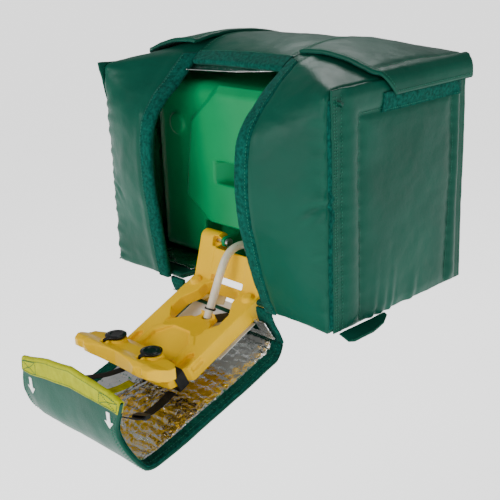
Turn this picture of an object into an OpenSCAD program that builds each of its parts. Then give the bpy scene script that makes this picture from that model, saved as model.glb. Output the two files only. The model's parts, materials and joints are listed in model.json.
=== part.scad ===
// Portable gravity-fed eyewash station in a padded insulated cover.
// Every length is in millimetres.
// +X is the right-hand side, -Y is the front, +Z is up.
// The origin is the middle of the cover's flat base.

/* [Cover] */
// Outside width of the padded cover
cover_w = 714; // [660:2:760]
// Outside depth of the padded cover
cover_d = 446; // [446:2:500]
// Height of the cover at its corners
cover_h = 500; // [500:2:530]
// Thickness of a padded wall
pad_t = 14; // [8:1:18]
// How far the top rises over the middle
crown = 34; // [10:1:50]
// Half the width of the front opening
open_x = 160; // [150:1:170]

/* [Front flap] */
// Half the width of the front flap
flap_x = 185; // [170:1:190]
// Thickness of the front flap
flap_t = 9; // [6:1:10]
// Width of the pull webbing
web_w = 38; // [25:1:50]

/* [Tray] */
// Half the width of the fold-down tray
tray_x = 110; // [104:1:112]
// Diameter of the pivot pins
pin_d = 12; // [8:1:14]
// Outside diameter of the supply hose
hose_d = 19; // [12:1:20]

/* [Tank] */
// Half the width of the tank
tank_x = 326; // [290:2:328]
// Diameter of the screw fill cap
cap_d = 116; // [90:2:124]

/* [Part] */
// Which piece to build, or all of them

/* [Hidden] */
$fn = 48;

// the front plane lies this far in front of the origin
front = cover_d / 2;
half_w = cover_w / 2;
// outside face of the cheeks where they wrap the front corners
cheek_x = half_w - 7;

// colours
vinyl = [0.0, 0.36, 0.25];
fuzzy = [0.0, 0.42, 0.36];
tank_green = [0.0, 0.57, 0.29];
yellow = [0.93, 0.74, 0.08];
lemon = [0.86, 0.80, 0.13];
black = [0.05, 0.05, 0.05];
foil = [0.75, 0.76, 0.77];

// opening edge of the right cheek, then the flatter left one: distance behind the front
// plane, height
open_edge = [[0, 2], [-28, 67], [-58, 167], [-76, 259], [-74, 344], [-56, 404],
  [-18, 448], [27, 484], [60, 499]];
left_edge = [[-8, 2], [-18, 67], [-29, 167], [-38, 259], [-34, 330], [-20, 384],
  [16, 430], [60, 468], [100, 497]];
// heights of the same rows at the outer corner
corner_z = [2, 64, 160, 250, 335, 400, 444, 468, 484];
// columns of a cheek: share of the way to the corner
cheek_cols = [0, 0.18, 0.36, 0.54, 0.72, 0.88, 1];

// rounded band of thickness t along a path, as a closed outline
function unit(v) = v / norm(v);
function side_of(p, i) =
  let (a = p[max(i - 1, 0)], b = p[min(i + 1, len(p) - 1)], d = unit(b - a)) [-d[1], d[0]];
function band_outline(p, t) = concat(
  [for (i = [0:len(p) - 1]) p[i] + side_of(p, i) * t / 2],
  [for (i = [len(p) - 1:-1:0]) p[i] - side_of(p, i) * t / 2]);

// a closed grid solid: outer rows, inner rows, both [row][column]
function flat(rows) = [for (r = rows) for (p = r) p];
function grid_faces(n, m) = concat(
  [for (i = [0:n - 2]) for (j = [0:m - 2])
    [i * m + j, i * m + j + 1, (i + 1) * m + j + 1]],
  [for (i = [0:n - 2]) for (j = [0:m - 2])
    [i * m + j, (i + 1) * m + j + 1, (i + 1) * m + j]]);
function shell_faces(n, m) = let (k = n * m, g = grid_faces(n, m)) concat(
  g,
  [for (f = g) [f[2] + k, f[1] + k, f[0] + k]],
  [for (j = [0:m - 2]) [j + 1, j, j + k]],
  [for (j = [0:m - 2]) [j + 1, j + k, j + 1 + k]],
  [for (j = [0:m - 2]) let (a = (n - 1) * m + j) [a, a + 1, a + k]],
  [for (j = [0:m - 2]) let (a = (n - 1) * m + j) [a + 1, a + 1 + k, a + k]],
  [for (i = [0:n - 2]) let (a = i * m) [a, a + m, a + k]],
  [for (i = [0:n - 2]) let (a = i * m) [a + m, a + m + k, a + k]],
  [for (i = [0:n - 2]) let (a = i * m + m - 1) [a + m, a, a + k]],
  [for (i = [0:n - 2]) let (a = i * m + m - 1) [a + m, a + k, a + m + k]]);

// rings of a swept solid along a path; each ring has k points
function ring_at(p, i, k, a, b, up) =
  let (d = unit(p[min(i + 1, len(p) - 1)] - p[max(i - 1, 0)]),
    s = unit(cross(up, d)), u = cross(d, s))
  [for (j = [0:k - 1]) let (w = 360 * j / k + (k == 4 ? 45 : 0), q = (k == 4 ? sqrt(2) : 1))
    p[i] + s * a * q * cos(w) + u * b * q * sin(w)];
function sweep_faces(n, k) = concat(
  [[for (j = [0:k - 1]) j]],
  [for (i = [0:n - 2]) for (j = [0:k - 1])
    [i * k + j, (i + 1) * k + j, i * k + (j + 1) % k]],
  [for (i = [0:n - 2]) for (j = [0:k - 1])
    [(i + 1) * k + j, (i + 1) * k + (j + 1) % k, i * k + (j + 1) % k]],
  [[for (j = [k - 1:-1:0]) (n - 1) * k + j]]);

// height of the top cover's outside
function front_y(x) = let (a = abs(x), e = 80 - 20 * min(max(x / open_x, -1), 1))
  a <= open_x ? e : e + (-10 - e) * (a - open_x) / (cheek_x - open_x);
function front_z(x) = let (a = abs(x)) a <= open_x ? 514
  : 514 + (cover_h - 514) * (a - open_x) / (cheek_x - open_x);
function bulge_x(x) = 1 - pow(min(abs(x) / half_w, 1), 2);
function top_z(x, y) = let (w = (y - front_y(x)) / (cover_d - front_y(x)))
  front_z(x) * (1 - w) + (cover_h + 18 * bulge_x(x)) * w + crown * bulge_x(x) * sin(180 * max(w, 0));

// a point of a cheek's outside
function cheek_pt(edge, i, t) = let (e = edge[i], puff = 9 * 4 * t * (1 - t) * sin(180 * i / 8))
  [open_x + t * (cheek_x - 8 - open_x), e[0] * (1 - t) - 12 * t - puff,
    e[1] * (1 - t) + corner_z[i] * t];
// inward direction of a cheek row
function cheek_in(edge, i) = let (s = side_of(edge, i)) [0, -s[0], -s[1]];

// front and back of the tank, and the fill cap's place, behind the front plane
tank_front = 98;
tank_back = 400;
cap_y = 310;
// where the tray turns: behind the front plane, height
pivot = [76, 94];
// slope of the tray when it is down
tray_tilt = 23.4;
// fold line and front edge of the open flap
fold_at = [44, -92];
lip_at = [-345, -222];
// where the dust caps sit
cup_at = [62, -242];
cup_z = -46;

// route of the supply hose from the outlet to the tray
hose_path = [[20, 146, 84], [20, 128, 86], [18, 100, 94], [16, 72, 100], [16, 46, 98],
  [16, 26, 87], [15, 12, 67], [12, 2, 42], [9, -7, 16], [5, -16, -12], [2.6, -24.6, -34],
  [2, -32.8, -53]];
// routes of the straps that join the flap to the tray
link_path = [[84, -214, -142], [100, -258, -146], [122, -310, -140], [146, -356, -122],
  [160, -396, -96]];
centre_path = [[14, -264, -122], [10, -300, -126], [4, -340, -122], [0, -378, -108],
  [-2, -399, -96]];

// moves a piece drawn from the front plane into the part's frame
module from_front() {
  translate([0, -front, 0]) children();
}
// draws an outline of [distance back, height] and makes it w wide
module across(w, x = 0) {
  translate([x, 0, 0]) rotate([90, 0, 90]) linear_extrude(height = w, center = true) children();
}
module both_sides() {
  children();
  mirror([1, 0, 0]) children();
}
module swept(p, k, a, b, up = [0, 0, 1]) {
  polyhedron(flat([for (i = [0:len(p) - 1]) ring_at(p, i, k, a, b, up)]),
    sweep_faces(len(p), k), convexity = 6);
}

module floor_panel() {
  color(vinyl) from_front() difference() {
    translate([-half_w + pad_t + 0.5, 1, 0]) cube([cover_w - 2 * pad_t - 1, cover_d - pad_t - 2, pad_t]);
    // the tray passes through the middle of the front edge
    translate([-tray_x - 10, -20, -1]) cube([2 * tray_x + 20, 96, pad_t + 2]);
    // the cheeks wrap the front corners
    both_sides() translate([open_x - 4, -20, -1]) cube([300, 52, pad_t + 2]);
  }
}
module back_panel() {
  xs = [for (i = [-8:8]) i * (half_w - pad_t - 0.5) / 8];
  color(vinyl) from_front() translate([0, cover_d, 0]) rotate([90, 0, 0])
    linear_extrude(height = pad_t) polygon(concat(
      [for (x = xs) [x, top_z(x, cover_d) - pad_t - 1.5]],
      [[half_w - pad_t - 0.5, 0], [-half_w + pad_t + 0.5, 0]]));
}
module side_panel() {
  color(vinyl) from_front() union() {
    translate([half_w - pad_t, 32, 0]) cube([pad_t, cover_d - 32, cover_h - pad_t - 1]);
    translate([half_w - 4, 3, 2]) cube([4, 30, cover_h - 20]);
  }
}
module left_side_panel() {
  mirror([1, 0, 0]) side_panel();
}
module right_side_panel() {
  side_panel();
}
// crowned sheet of the top, between two offsets from the outside surface
module top_sheet(drop_a, drop_b, reach, back, lead = 0) {
  xs = [for (i = [-8:8]) i * reach / 8];
  ws = [for (j = [0:8]) j / 8];
  up = [for (x = xs) [for (w = ws) let (y = (front_y(x) + lead) * (1 - w) + back * w)
    [x, y, top_z(x, y) - drop_a]]];
  low = [for (x = xs) [for (w = ws) let (y = (front_y(x) + lead) * (1 - w) + back * w)
    [x, y, top_z(x, y) - drop_b]]];
  from_front()
    polyhedron(flat(concat(up, low)), shell_faces(len(xs), len(ws)), convexity = 4);
}
module top_panel() {
  color(vinyl) top_sheet(0, pad_t, cheek_x, cover_d);
}
module top_lining() {
  color(foil) top_sheet(pad_t + 1.6, pad_t + 3, cheek_x - 20, cover_d - pad_t - 3, 20);
}
module cheek(edge) {
  outer = [for (i = [0:8]) concat(
    [for (t = cheek_cols) cheek_pt(edge, i, t)],
    [[cheek_x, -5, corner_z[i]], [cheek_x, 12, corner_z[i]], [cheek_x, 30, corner_z[i]]])];
  inner = [for (i = [0:8]) concat(
    [for (t = cheek_cols) cheek_pt(edge, i, t) + cheek_in(edge, i) * pad_t * (1 - t) + [0, pad_t * t, 0]
      + [-8 * t, 0, 0]],
    [[cheek_x - 14, 6, corner_z[i]], [cheek_x - 14, 16, corner_z[i]],
      [cheek_x - 14, 30, corner_z[i]]])];
  color(vinyl) from_front()
    polyhedron(flat(concat(outer, inner)), shell_faces(9, len(cheek_cols) + 3), convexity = 6);
}
module left_cheek() {
  mirror([1, 0, 0]) cheek(left_edge);
}
module right_cheek() {
  cheek(open_edge);
}
module floor_lining() {
  color(foil) from_front() difference() {
    translate([-cheek_x + 22, 2, pad_t + 0.2]) cube([2 * cheek_x - 44, cover_d - pad_t - 8, 2]);
    translate([-tray_x - 10, -20, 0]) cube([2 * tray_x + 20, 98, 40]);
    both_sides() translate([open_x - 4, -20, 0]) cube([300, 52, 40]);
  }
}
module wall_lining() {
  color(foil) from_front() difference() {
    translate([-half_w + pad_t + 0.5, 36, 16.8])
      cube([cover_w - 2 * pad_t - 1, cover_d - pad_t - 36.5, cover_h - pad_t - 22]);
    translate([-half_w + pad_t + 2.5, 20, 0])
      cube([cover_w - 2 * pad_t - 5, cover_d - pad_t - 22.5, cover_h + 20]);
  }
}
// soft tape along the opening edge of a cheek
module edge_loop(edge) {
  rows = [for (i = [0:7]) i];
  top = [for (i = rows) [for (t = [0.01, 0.09, 0.17]) cheek_pt(edge, i, t) - cheek_in(edge, i) * 3.4]];
  low = [for (i = rows) [for (t = [0.01, 0.09, 0.17]) cheek_pt(edge, i, t) - cheek_in(edge, i) * 0.9]];
  color(fuzzy) from_front()
    polyhedron(flat(concat(top, low)), shell_faces(8, 3), convexity = 6);
}
module left_edge_loop() {
  mirror([1, 0, 0]) edge_loop(left_edge);
}
module right_edge_loop() {
  edge_loop(open_edge);
}
module top_edge_loop() {
  xs = [for (i = [-6:6]) i * (open_x - 30) / 6];
  up = [for (x = xs) [for (d = [1, 18, 35]) let (y = front_y(x) + d) [x, y, top_z(x, y) + 3]]];
  low = [for (x = xs) [for (d = [1, 18, 35]) let (y = front_y(x) + d) [x, y, top_z(x, y) + 0.4]]];
  color(fuzzy) from_front()
    polyhedron(flat(concat(up, low)), shell_faces(len(xs), 3), convexity = 4);
}
module corner_loop() {
  color(fuzzy) from_front() translate([cheek_x + 0.2, -4, 6]) cube([2.4, 32, 470]);
}
module left_corner_loop() {
  mirror([1, 0, 0]) corner_loop();
}
module right_corner_loop() {
  corner_loop();
}
module side_loop() {
  color(fuzzy) from_front() translate([half_w + 0.1, 148, 434]) cube([2.2, 272, 36]);
}
module left_side_loop() {
  mirror([1, 0, 0]) side_loop();
}
module right_side_loop() {
  side_loop();
}

// a bar along X with rounded edges, from [y, z] to [y, z]
module round_box(size, r) {
  linear_extrude(height = size[2]) union() {
    translate([-size[0] / 2 + r, -size[1] / 2]) square([size[0] - 2 * r, size[1]]);
    translate([-size[0] / 2, -size[1] / 2 + r]) square([size[0], size[1] - 2 * r]);
    for (sx = [-1, 1], sy = [-1, 1])
      translate([sx * (size[0] / 2 - r), sy * (size[1] / 2 - r)]) circle(r);
  }
}
// lugs that the tray's pivot pins pass through
module hinge_lugs() {
  both_sides() across(13.5, 42.75) union() {
    translate([pivot[0], pivot[1]]) circle(13);
    translate([pivot[0], pivot[1] - 13]) square([90, 26]);
  }
}
module tank_body() {
  mid = (tank_front + tank_back) / 2;
  deep = tank_back - tank_front;
  color(tank_green) from_front() difference() {
    union() {
      intersection() {
        // plan, then front view, then side view
        translate([0, mid, 0]) round_box([2 * tank_x, deep, 470], 58);
        translate([0, tank_back + 20, 238]) rotate([90, 0, 0])
          round_box([2 * tank_x, 432, deep + 60], 46);
        translate([-tank_x - 5, mid, 238]) rotate([90, 0, 90])
          round_box([deep, 432, 2 * tank_x + 10], 36);
      }
      // raised eight-sided front face
      translate([0, tank_front + 4, 0]) rotate([90, 0, 0])
        linear_extrude(height = 16, scale = 0.955)
        polygon([[-70, 456], [-166, 378], [-196, 188], [-110, 130], [110, 130],
          [196, 188], [166, 378], [70, 456]]);
      // half-round bosses high on the front corners
      both_sides() translate([-218, tank_front + 30, 350]) rotate([90, 0, 0])
        cylinder(h = 38, r = 25);
      // neck for the fill cap
      translate([0, cap_y, 452]) cylinder(h = 22, d = 84);
      hinge_lugs();
    }
    // hand recess in the front face, with sloping ends
    intersection() {
      translate([-104, tank_front - 20, 228]) rotate([0, 90, 0]) translate([-52, 0, 0])
        linear_extrude(height = 208)
        polygon([[0, 0], [0, 36], [10, 50], [36, 56], [52, 40], [52, 0]]);
      translate([0, tank_front - 12, 200]) linear_extrude(height = 90)
        polygon([[-88, -20], [-84, 0], [-44, 44], [44, 44], [84, 0], [88, -20]]);
    }
    // room for the tray's hinge low in the front
    difference() {
      translate([-138, tank_front - 30, 0]) cube([276, 154 - tank_front + 30, 124]);
      hinge_lugs();
    }
    // bores for the pivot pins
    both_sides() translate([30, pivot[0], pivot[1]]) rotate([0, 90, 0])
      cylinder(h = 40, d = pin_d + 0.1);
    // socket for the outlet
    translate([20, 200, 84]) rotate([90, 0, 0]) cylinder(h = 60, d = 26.1);
    // filling hole
    translate([0, cap_y, 400]) cylinder(h = 90, d = 66);
    // seam groove low on the body
    translate([-tank_x - 5, tank_front - 24, 74]) cube([2 * tank_x + 10, 26.6, 2]);
  }
}
module cap_gasket() {
  color(black) from_front() translate([0, cap_y, 474.1]) difference() {
    cylinder(h = 2.5, d = 82);
    translate([0, 0, -1]) cylinder(h = 5, d = 68);
  }
}
module fill_cap() {
  color(black) from_front() translate([0, cap_y, 457]) difference() {
    union() {
      cylinder(h = 26, d = cap_d - 4);
      // grip ribs
      for (i = [0:23]) rotate(i * 15) translate([cap_d / 2 - 4, -3, 1]) cube([4, 6, 22]);
      // raised rim
      translate([0, 0, 26]) cylinder(h = 3, d = cap_d - 22);
    }
    translate([0, 0, -1]) cylinder(h = 21, d = 86);
    // dished top
    translate([0, 0, 25.5]) cylinder(h = 6, d = cap_d - 32);
  }
}
module outlet_fitting() {
  color(black) from_front() translate([20, 0, 84]) rotate([90, 0, 0]) difference() {
    union() {
      translate([0, 0, -176]) cylinder(h = 24, d = 26);
      translate([0, 0, -153.8]) cylinder(h = 6, d = 30, $fn = 6);
      translate([0, 0, -148]) cylinder(h = 22, d = 13);
    }
    translate([0, 0, -190]) cylinder(h = 80, d = 9);
  }
}
module hose_clamp() {
  color([0.7, 0.7, 0.7]) from_front() translate([20, 0, 85]) rotate([90, 0, 0]) union() {
    translate([0, 0, -142]) difference() {
      cylinder(h = 9, d = hose_d + 6);
      translate([0, 0, -1]) cylinder(h = 11, d = hose_d + 3);
    }
    translate([-5, hose_d / 2 + 2.4, -142]) cube([10, 6, 9]);
  }
}
module pivot_pins() {
  color([0.7, 0.7, 0.72]) from_front() both_sides() {
    translate([33, pivot[0], pivot[1]]) rotate([0, 90, 0]) cylinder(h = 65, d = pin_d);
    translate([29, pivot[0], pivot[1]]) rotate([0, 90, 0]) cylinder(h = 6.8, d = pin_d + 7);
  }
}
module supply_hose() {
  color([0.86, 0.83, 0.76]) from_front() difference() {
    swept(hose_path, 12, hose_d / 2, hose_d / 2, up = [1, 0, 0]);
    translate([20, 160, 84]) rotate([90, 0, 0]) cylinder(h = 35, d = 13.6);
    translate([2, -36, -61]) rotate([-24, 0, 0]) translate([0, 0, 2]) cylinder(h = 24, d = 13.6);
  }
}

// one rail, seen from above: half the tray's outline with its window
module tray_window() {
  polygon([[44, 30], [56, 18], [58, -6], [80, -40], [82, -74], [62, -98], [34, -62],
    [24, -62], [24, -40], [-24, -40], [-24, -62], [-34, -62], [-62, -98], [-82, -74],
    [-80, -40], [-58, -6], [-56, 18], [-44, 30]]);
}
module tray_frame() {
  translate([0, 0, -4]) rotate([tray_tilt, 0, 0]) children();
}
module tray_shell() {
  color(yellow) from_front() difference() {
    union() {
      // deck
      tray_frame() translate([0, 0, -42]) linear_extrude(height = 42)
        polygon([[-tray_x, 34], [-tray_x, -204], [-tray_x + 8, -210], [-tray_x + 8, -258],
          [-60, -266], [60, -266], [tray_x - 8, -258], [tray_x - 8, -210], [tray_x, -204],
          [tray_x, 34]]);
      // ears
      both_sides() across(57.5, 81.25) union() {
        polygon([[29, 6], [58, 102], [93, 86], [66, 16], [48, -16]]);
        translate([pivot[0], pivot[1]]) circle(20);
      }
      // plate between the ears
      across(108) polygon([[33, 24], [50, 84], [62, 80], [62, 30], [52, 16]]);
      // finger lugs on the rails
      both_sides() tray_frame() translate([88, 18, -2]) cylinder(h = 11, r1 = 16, r2 = 11);
      // raised eight-sided ridge
      tray_frame() translate([0, 0, -8]) linear_extrude(height = 11)
        polygon([[-74, -206], [-74, -148], [-34, -104], [34, -104], [74, -148], [74, -206],
          [60, -206], [60, -152], [28, -116], [-28, -116], [-60, -152], [-60, -206]]);
    }
    // window between the rails
    tray_frame() translate([0, 0, -60]) linear_extrude(height = 90) tray_window();
    // sloping rear of the middle block
    tray_frame() translate([-60, -128, 2]) rotate([-21, 0, 0]) cube([120, 90, 60]);
    // shallow six-sided basin
    tray_frame() translate([0, 0, -7]) linear_extrude(height = 20)
      polygon([[-58, -206], [-58, -153], [-27, -118], [27, -118], [58, -153], [58, -206]]);
    // pockets at the front of the rails
    both_sides() tray_frame() translate([84, -206, -9]) linear_extrude(height = 20)
      polygon([[-6, -2], [14, -2], [16, 34], [4, 42], [-6, 30]]);
    // scoops inside the ear tops
    both_sides() translate([38, pivot[0] - 16, pivot[1] + 2]) rotate([0, 90, 0])
      cylinder(h = 30, r = 12);
    // bores for the pivot pins
    both_sides() translate([45, pivot[0], pivot[1]]) rotate([0, 90, 0])
      cylinder(h = 55, d = pin_d + 0.1);
    // room for the pin heads between the ears
    across(103) translate([pivot[0] - 17, pivot[1] - 17]) square([60, 60]);
    // notch in the rail
    both_sides() tray_frame() translate([tray_x - 4, -196, -22]) cube([10, 34, 14]);
    // hollow underside
    both_sides() tray_frame() translate([0, 0, -43]) linear_extrude(height = 14)
      polygon([[32, 20], [32, -190], [92, -190], [92, 20]]);
    // the underside rises towards the front end
    tray_frame() translate([-tray_x - 5, -196, -43]) rotate([-22, 0, 0])
      translate([0, -120, -60]) cube([2 * tray_x + 10, 120, 60]);
    // seat for the hose barb
    translate([2, -36, -61]) rotate([-24, 0, 0]) translate([0, 0, -9]) cylinder(h = 46, d = 22.6);
  }
}
module hose_barb() {
  color(black) from_front() translate([2, -36, -61]) rotate([-24, 0, 0]) difference() {
    union() {
      translate([0, 0, -8.8]) cylinder(h = 10, d = 21.6);
      translate([0, 0, 1]) cylinder(h = 22, d = 13);
    }
    translate([0, 0, -16]) cylinder(h = 50, d = 8);
  }
}
module cable_tie() {
  color(black) from_front() translate([2.7, -24.8, -34]) rotate([-24, 0, 0]) union() {
    difference() {
      cylinder(h = 4, d = hose_d + 6);
      translate([0, 0, -1]) cylinder(h = 6, d = hose_d + 3);
    }
    translate([-4, hose_d / 2 + 2, 0]) cube([7, 5, 5]);
  }
}
module guide_card() {
  color([0.9, 0.9, 0.88]) from_front() tray_frame() translate([0, 0, -56]) union() {
    translate([-104, -120, 0]) cube([208, 150, 1.5]);
    // printed blocks
    translate([-78, -18, 1.4]) cube([54, 48, 0.6]);
    translate([4, -32, 1.4]) cube([46, 18, 0.6]);
  }
}
module tray_strap() {
  color(black) from_front() tray_frame() translate([0, -228, -42]) difference() {
    translate([-tray_x + 4, -14, 0]) cube([2 * tray_x - 8, 28, 46]);
    translate([-tray_x + 7.5, -20, 4]) cube([2 * tray_x - 15, 40, 38.4]);
  }
}
module strap_buckle() {
  color([0.02, 0.02, 0.02]) from_front() tray_frame() translate([0, -228, 4.4]) difference() {
    union() {
      translate([-22, -18, 0]) cube([44, 36, 5]);
      for (i = [0:4]) translate([-18 + i * 8, -18, 4]) cube([4, 36, 2.5]);
    }
    translate([-14, -12, -1]) cube([5, 24, 5]);
  }
}
// outline of the head that carries the nozzles, from above
module yoke_plan() {
  polygon([[0, -205], [58, -205], [78, -226], [118, -228], [140, -242], [142, -282],
    [128, -306], [92, -312], [60, -300], [0, -292], [-60, -300], [-92, -312], [-128, -306],
    [-142, -282], [-140, -242], [-118, -228], [-78, -226], [-58, -205]]);
}
module spray_yoke() {
  color(yellow) from_front() difference() {
    union() {
      intersection() {
        translate([0, 0, -140]) linear_extrude(height = 140) yoke_plan();
        across(300) polygon([[-252, -102], [-304, -68], [-312, -46], [-292, -41],
          [-276, -46], [-262, -52], [-228, -56], [-206, -64], [-206, -72], [-226, -80]]);
      }
      // stem down to the tray's end
      across(116) polygon([[-256, -62], [-228, -62], [-230, -103.2], [-243, -108.8], [-254, -102]]);
      // lugs for the cap hinges
      both_sides() translate([cup_at[0] - 11.5, cup_at[1] - 32.5, cup_z - 12]) cube([23, 8, 14.4]);
      // nozzle cups
      both_sides() translate([cup_at[0], cup_at[1], cup_z - 14]) cylinder(h = 13.5, r = 24);
    }
    // the wings thin out towards their ends
    both_sides() across(60, 128) polygon([[-330, -112], [-330, -60], [-304, -64], [-262, -80],
      [-226, -82], [-200, -90], [-200, -112]]);
    // finger notches in the wings
    both_sides() translate([100, -322, -110]) cylinder(h = 110, r = 18);
    both_sides() translate([104, -330, -26]) rotate([-90, 0, 0]) cylinder(h = 110, r = 17);
    // nozzle wells
    both_sides() translate([cup_at[0], cup_at[1], cup_z - 12]) cylinder(h = 20, d = 34.1);
    // clearance over the tray and its strap
    tray_frame() translate([-150, -268, -20]) cube([300, 60, 20.2]);
    tray_frame() translate([-25, -250, 3]) cube([50, 44, 10]);
    // slots for the cap hinges
    both_sides() translate([cup_at[0] - 5.2, cup_at[1] - 39, cup_z - 9]) cube([10.4, 16, 30]);
    both_sides() translate([cup_at[0] - 12, cup_at[1] - 28.5, cup_z - 1.5]) rotate([0, 90, 0])
      cylinder(h = 24, d = 3.1);
  }
}
module nozzle_piece() {
  color(black) from_front() translate([cup_at[0], cup_at[1], cup_z - 11.8]) difference() {
    cylinder(h = 14, d = 34);
    // spray holes
    for (i = [0:7]) rotate(i * 45) translate([9, 0, -1]) cylinder(h = 20, d = 3, $fn = 16);
    translate([0, 0, -1]) cylinder(h = 20, d = 3, $fn = 16);
  }
}
module left_nozzle() {
  mirror([1, 0, 0]) nozzle_piece();
}
module right_nozzle() {
  nozzle_piece();
}
module cap_pins() {
  color([0.7, 0.7, 0.72]) from_front() both_sides()
    translate([cup_at[0] - 11, cup_at[1] - 28.5, cup_z - 1.5]) rotate([0, 90, 0])
    cylinder(h = 22, d = 3);
}
module dust_cap() {
  color(black) from_front() translate([cup_at[0], cup_at[1], cup_z]) difference() {
    union() {
      translate([0, 0, 2.6]) cylinder(h = 4, r = 24);
      translate([0, 0, 6.5]) cylinder(h = 1.5, r = 19);
      translate([-4.8, -28, 2.6]) cube([9.6, 14, 3]);
      translate([-4.8, -28.5, -1.5]) rotate([0, 90, 0]) cylinder(h = 9.6, r = 3.6);
      translate([-4.8, -32.1, -1.5]) cube([9.6, 7.2, 6]);
    }
    translate([-10, -28.5, -1.5]) rotate([0, 90, 0]) cylinder(h = 20, d = 3.2);
    translate([0, 0, 7.2]) cylinder(h = 2, r = 12);
  }
}
module left_dust_cap() {
  mirror([1, 0, 0]) dust_cap();
}
module right_dust_cap() {
  dust_cap();
}

// flap pieces, open: a short piece hangs from the base, then the long panel
root_path = [[-5, -14], [fold_at[0], fold_at[1]]];
lip_path = [[-350, -219], [-378, -208], [-398, -188], [-408, -162], [-409, -58]];
module fold_frame() {
  translate([0, fold_at[0], fold_at[1]])
    rotate([atan2(fold_at[1] - lip_at[1], fold_at[0] - lip_at[0]), 0, 0]) children();
}
panel_l = norm(fold_at - lip_at);
module flap_root_panel() {
  color(vinyl) from_front() difference() {
    across(2 * flap_x - 6) polygon(band_outline(root_path, flap_t));
    // the tray passes over the middle
    translate([-tray_x - 12, -60, -66]) cube([2 * tray_x + 24, 120, 100]);
  }
}
module flap_root_lining() {
  color(foil) from_front() difference() {
    across(2 * open_x - 8) polygon(band_outline([[-1.6, -30.8], [31.5, -83.3]], 2));
    translate([-tray_x - 12, -60, -66]) cube([2 * tray_x + 24, 120, 100]);
  }
}
module flap_panel() {
  color(vinyl) from_front() fold_frame()
    translate([-flap_x, -panel_l + 1, -flap_t / 2]) cube([2 * flap_x, panel_l - 7, flap_t]);
}
module flap_lining() {
  color(foil) from_front() fold_frame()
    translate([-flap_x + 26, -panel_l + 4, flap_t / 2 + 0.2]) cube([2 * flap_x - 52, panel_l - 14, 2]);
}
module flap_binding() {
  color(fuzzy) from_front() fold_frame() both_sides()
    translate([flap_x - 25.5, -panel_l + 4, flap_t / 2 + 0.2]) cube([25, panel_l - 14, 3]);
}
module flap_lip() {
  color(vinyl) from_front() across(2 * flap_x - 8) polygon(band_outline(lip_path, flap_t));
}
module lip_lining() {
  color(foil) from_front() translate([0, flap_t / 2 + 1.3, 0]) across(2 * flap_x - 54)
    polygon(band_outline([[-406, -150], [-409, -66]], 2));
}
module pull_webbing() {
  color(lemon) from_front() union() {
    translate([-flap_x + 8, -409 - flap_t / 2 - 2.4, -58 - web_w]) cube([2 * flap_x - 16, 2, web_w]);
    translate([-flap_x + 8, -409 - flap_t / 2 - 2.4, -57.8]) cube([2 * flap_x - 16, flap_t + 4.6, 2]);
  }
}
module lip_arrows() {
  color([0.9, 0.9, 0.9]) from_front() both_sides()
    translate([130, -409 - flap_t / 2 - 0.3, -132]) rotate([90, 0, 0]) linear_extrude(height = 0.6)
      polygon([[-5, 24], [5, 24], [5, 2], [12, 2], [0, -14], [-12, 2], [-5, 2]]);
}
module centre_link_strap() {
  color(lemon) from_front() swept(centre_path, 4, 12.5, 1.2, up = [0, 0, 1]);
}
module link_strap() {
  color(black) from_front() swept(link_path, 4, 11, 1.2, up = [0, 0, 1]);
}
module left_link_strap() {
  mirror([1, 0, 0]) link_strap();
}
module right_link_strap() {
  link_strap();
}
module strap_sliders() {
  color([0.03, 0.03, 0.03]) from_front() both_sides()
    translate([134, -333, -131]) rotate([0, 0, 27.5]) rotate([-17.5, 0, 0]) difference() {
      translate([-15, -12, -4.5]) cube([30, 24, 9]);
      translate([-12.2, -14, -2.4]) cube([24.4, 28, 4.8]);
    }
}

// top flap: lies on the crowned top and turns down over the side
module top_flap() {
  xs = [176, 200, 226, 252, 278, 304, 330, 350];
  ws = [for (j = [0:6]) j / 6];
  function y_at(x, w) = (118 + 10 * (x - 176) / 174) * (1 - w) + 440 * w;
  up = concat(
    [for (x = xs) [for (w = ws) [x, y_at(x, w), top_z(x, y_at(x, w)) + 12]]],
    [[for (w = ws) [371, 134 * (1 - w) + 440 * w, 503]],
      [for (w = ws) [374, 178 * (1 - w) + 438 * w, 462]]]);
  low = concat(
    [for (x = xs) [for (w = ws) [x, y_at(x, w), top_z(x, y_at(x, w)) + 3]]],
    [[for (w = ws) [363, 134 * (1 - w) + 440 * w, 496]],
      [for (w = ws) [365, 178 * (1 - w) + 438 * w, 462]]]);
  color(vinyl) from_front()
    polyhedron(flat(concat(up, low)), shell_faces(len(up), 7), convexity = 6);
}
module left_top_flap() {
  mirror([1, 0, 0]) top_flap();
}
module right_top_flap() {
  top_flap();
}
module bottom_flap() {
  color(vinyl) from_front() translate([half_w + 3, 0, -2]) rotate([0, 14, 0])
    linear_extrude(height = 5) polygon([[0, 8], [26, 10], [33, 22], [33, 84], [24, 128], [0, 164]]);
}
module left_bottom_flap() {
  mirror([1, 0, 0]) bottom_flap();
}
module right_bottom_flap() {
  bottom_flap();
}

floor_panel();
back_panel();
left_side_panel();
right_side_panel();
top_panel();
left_cheek();
right_cheek();
floor_lining();
wall_lining();
top_lining();
left_edge_loop();
right_edge_loop();
top_edge_loop();
left_corner_loop();
right_corner_loop();
left_side_loop();
right_side_loop();
tank_body();
cap_gasket();
fill_cap();
outlet_fitting();
hose_clamp();
pivot_pins();
supply_hose();
tray_shell();
hose_barb();
cable_tie();
guide_card();
tray_strap();
strap_buckle();
spray_yoke();
left_nozzle();
right_nozzle();
cap_pins();
left_dust_cap();
right_dust_cap();
flap_root_panel();
flap_root_lining();
flap_panel();
flap_lining();
flap_binding();
flap_lip();
lip_lining();
pull_webbing();
lip_arrows();
centre_link_strap();
left_link_strap();
right_link_strap();
strap_sliders();
left_top_flap();
right_top_flap();
left_bottom_flap();
right_bottom_flap();
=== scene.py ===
import json
import math

import bmesh
import bpy
import numpy as np
from mathutils import Matrix, Vector, noise


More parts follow.
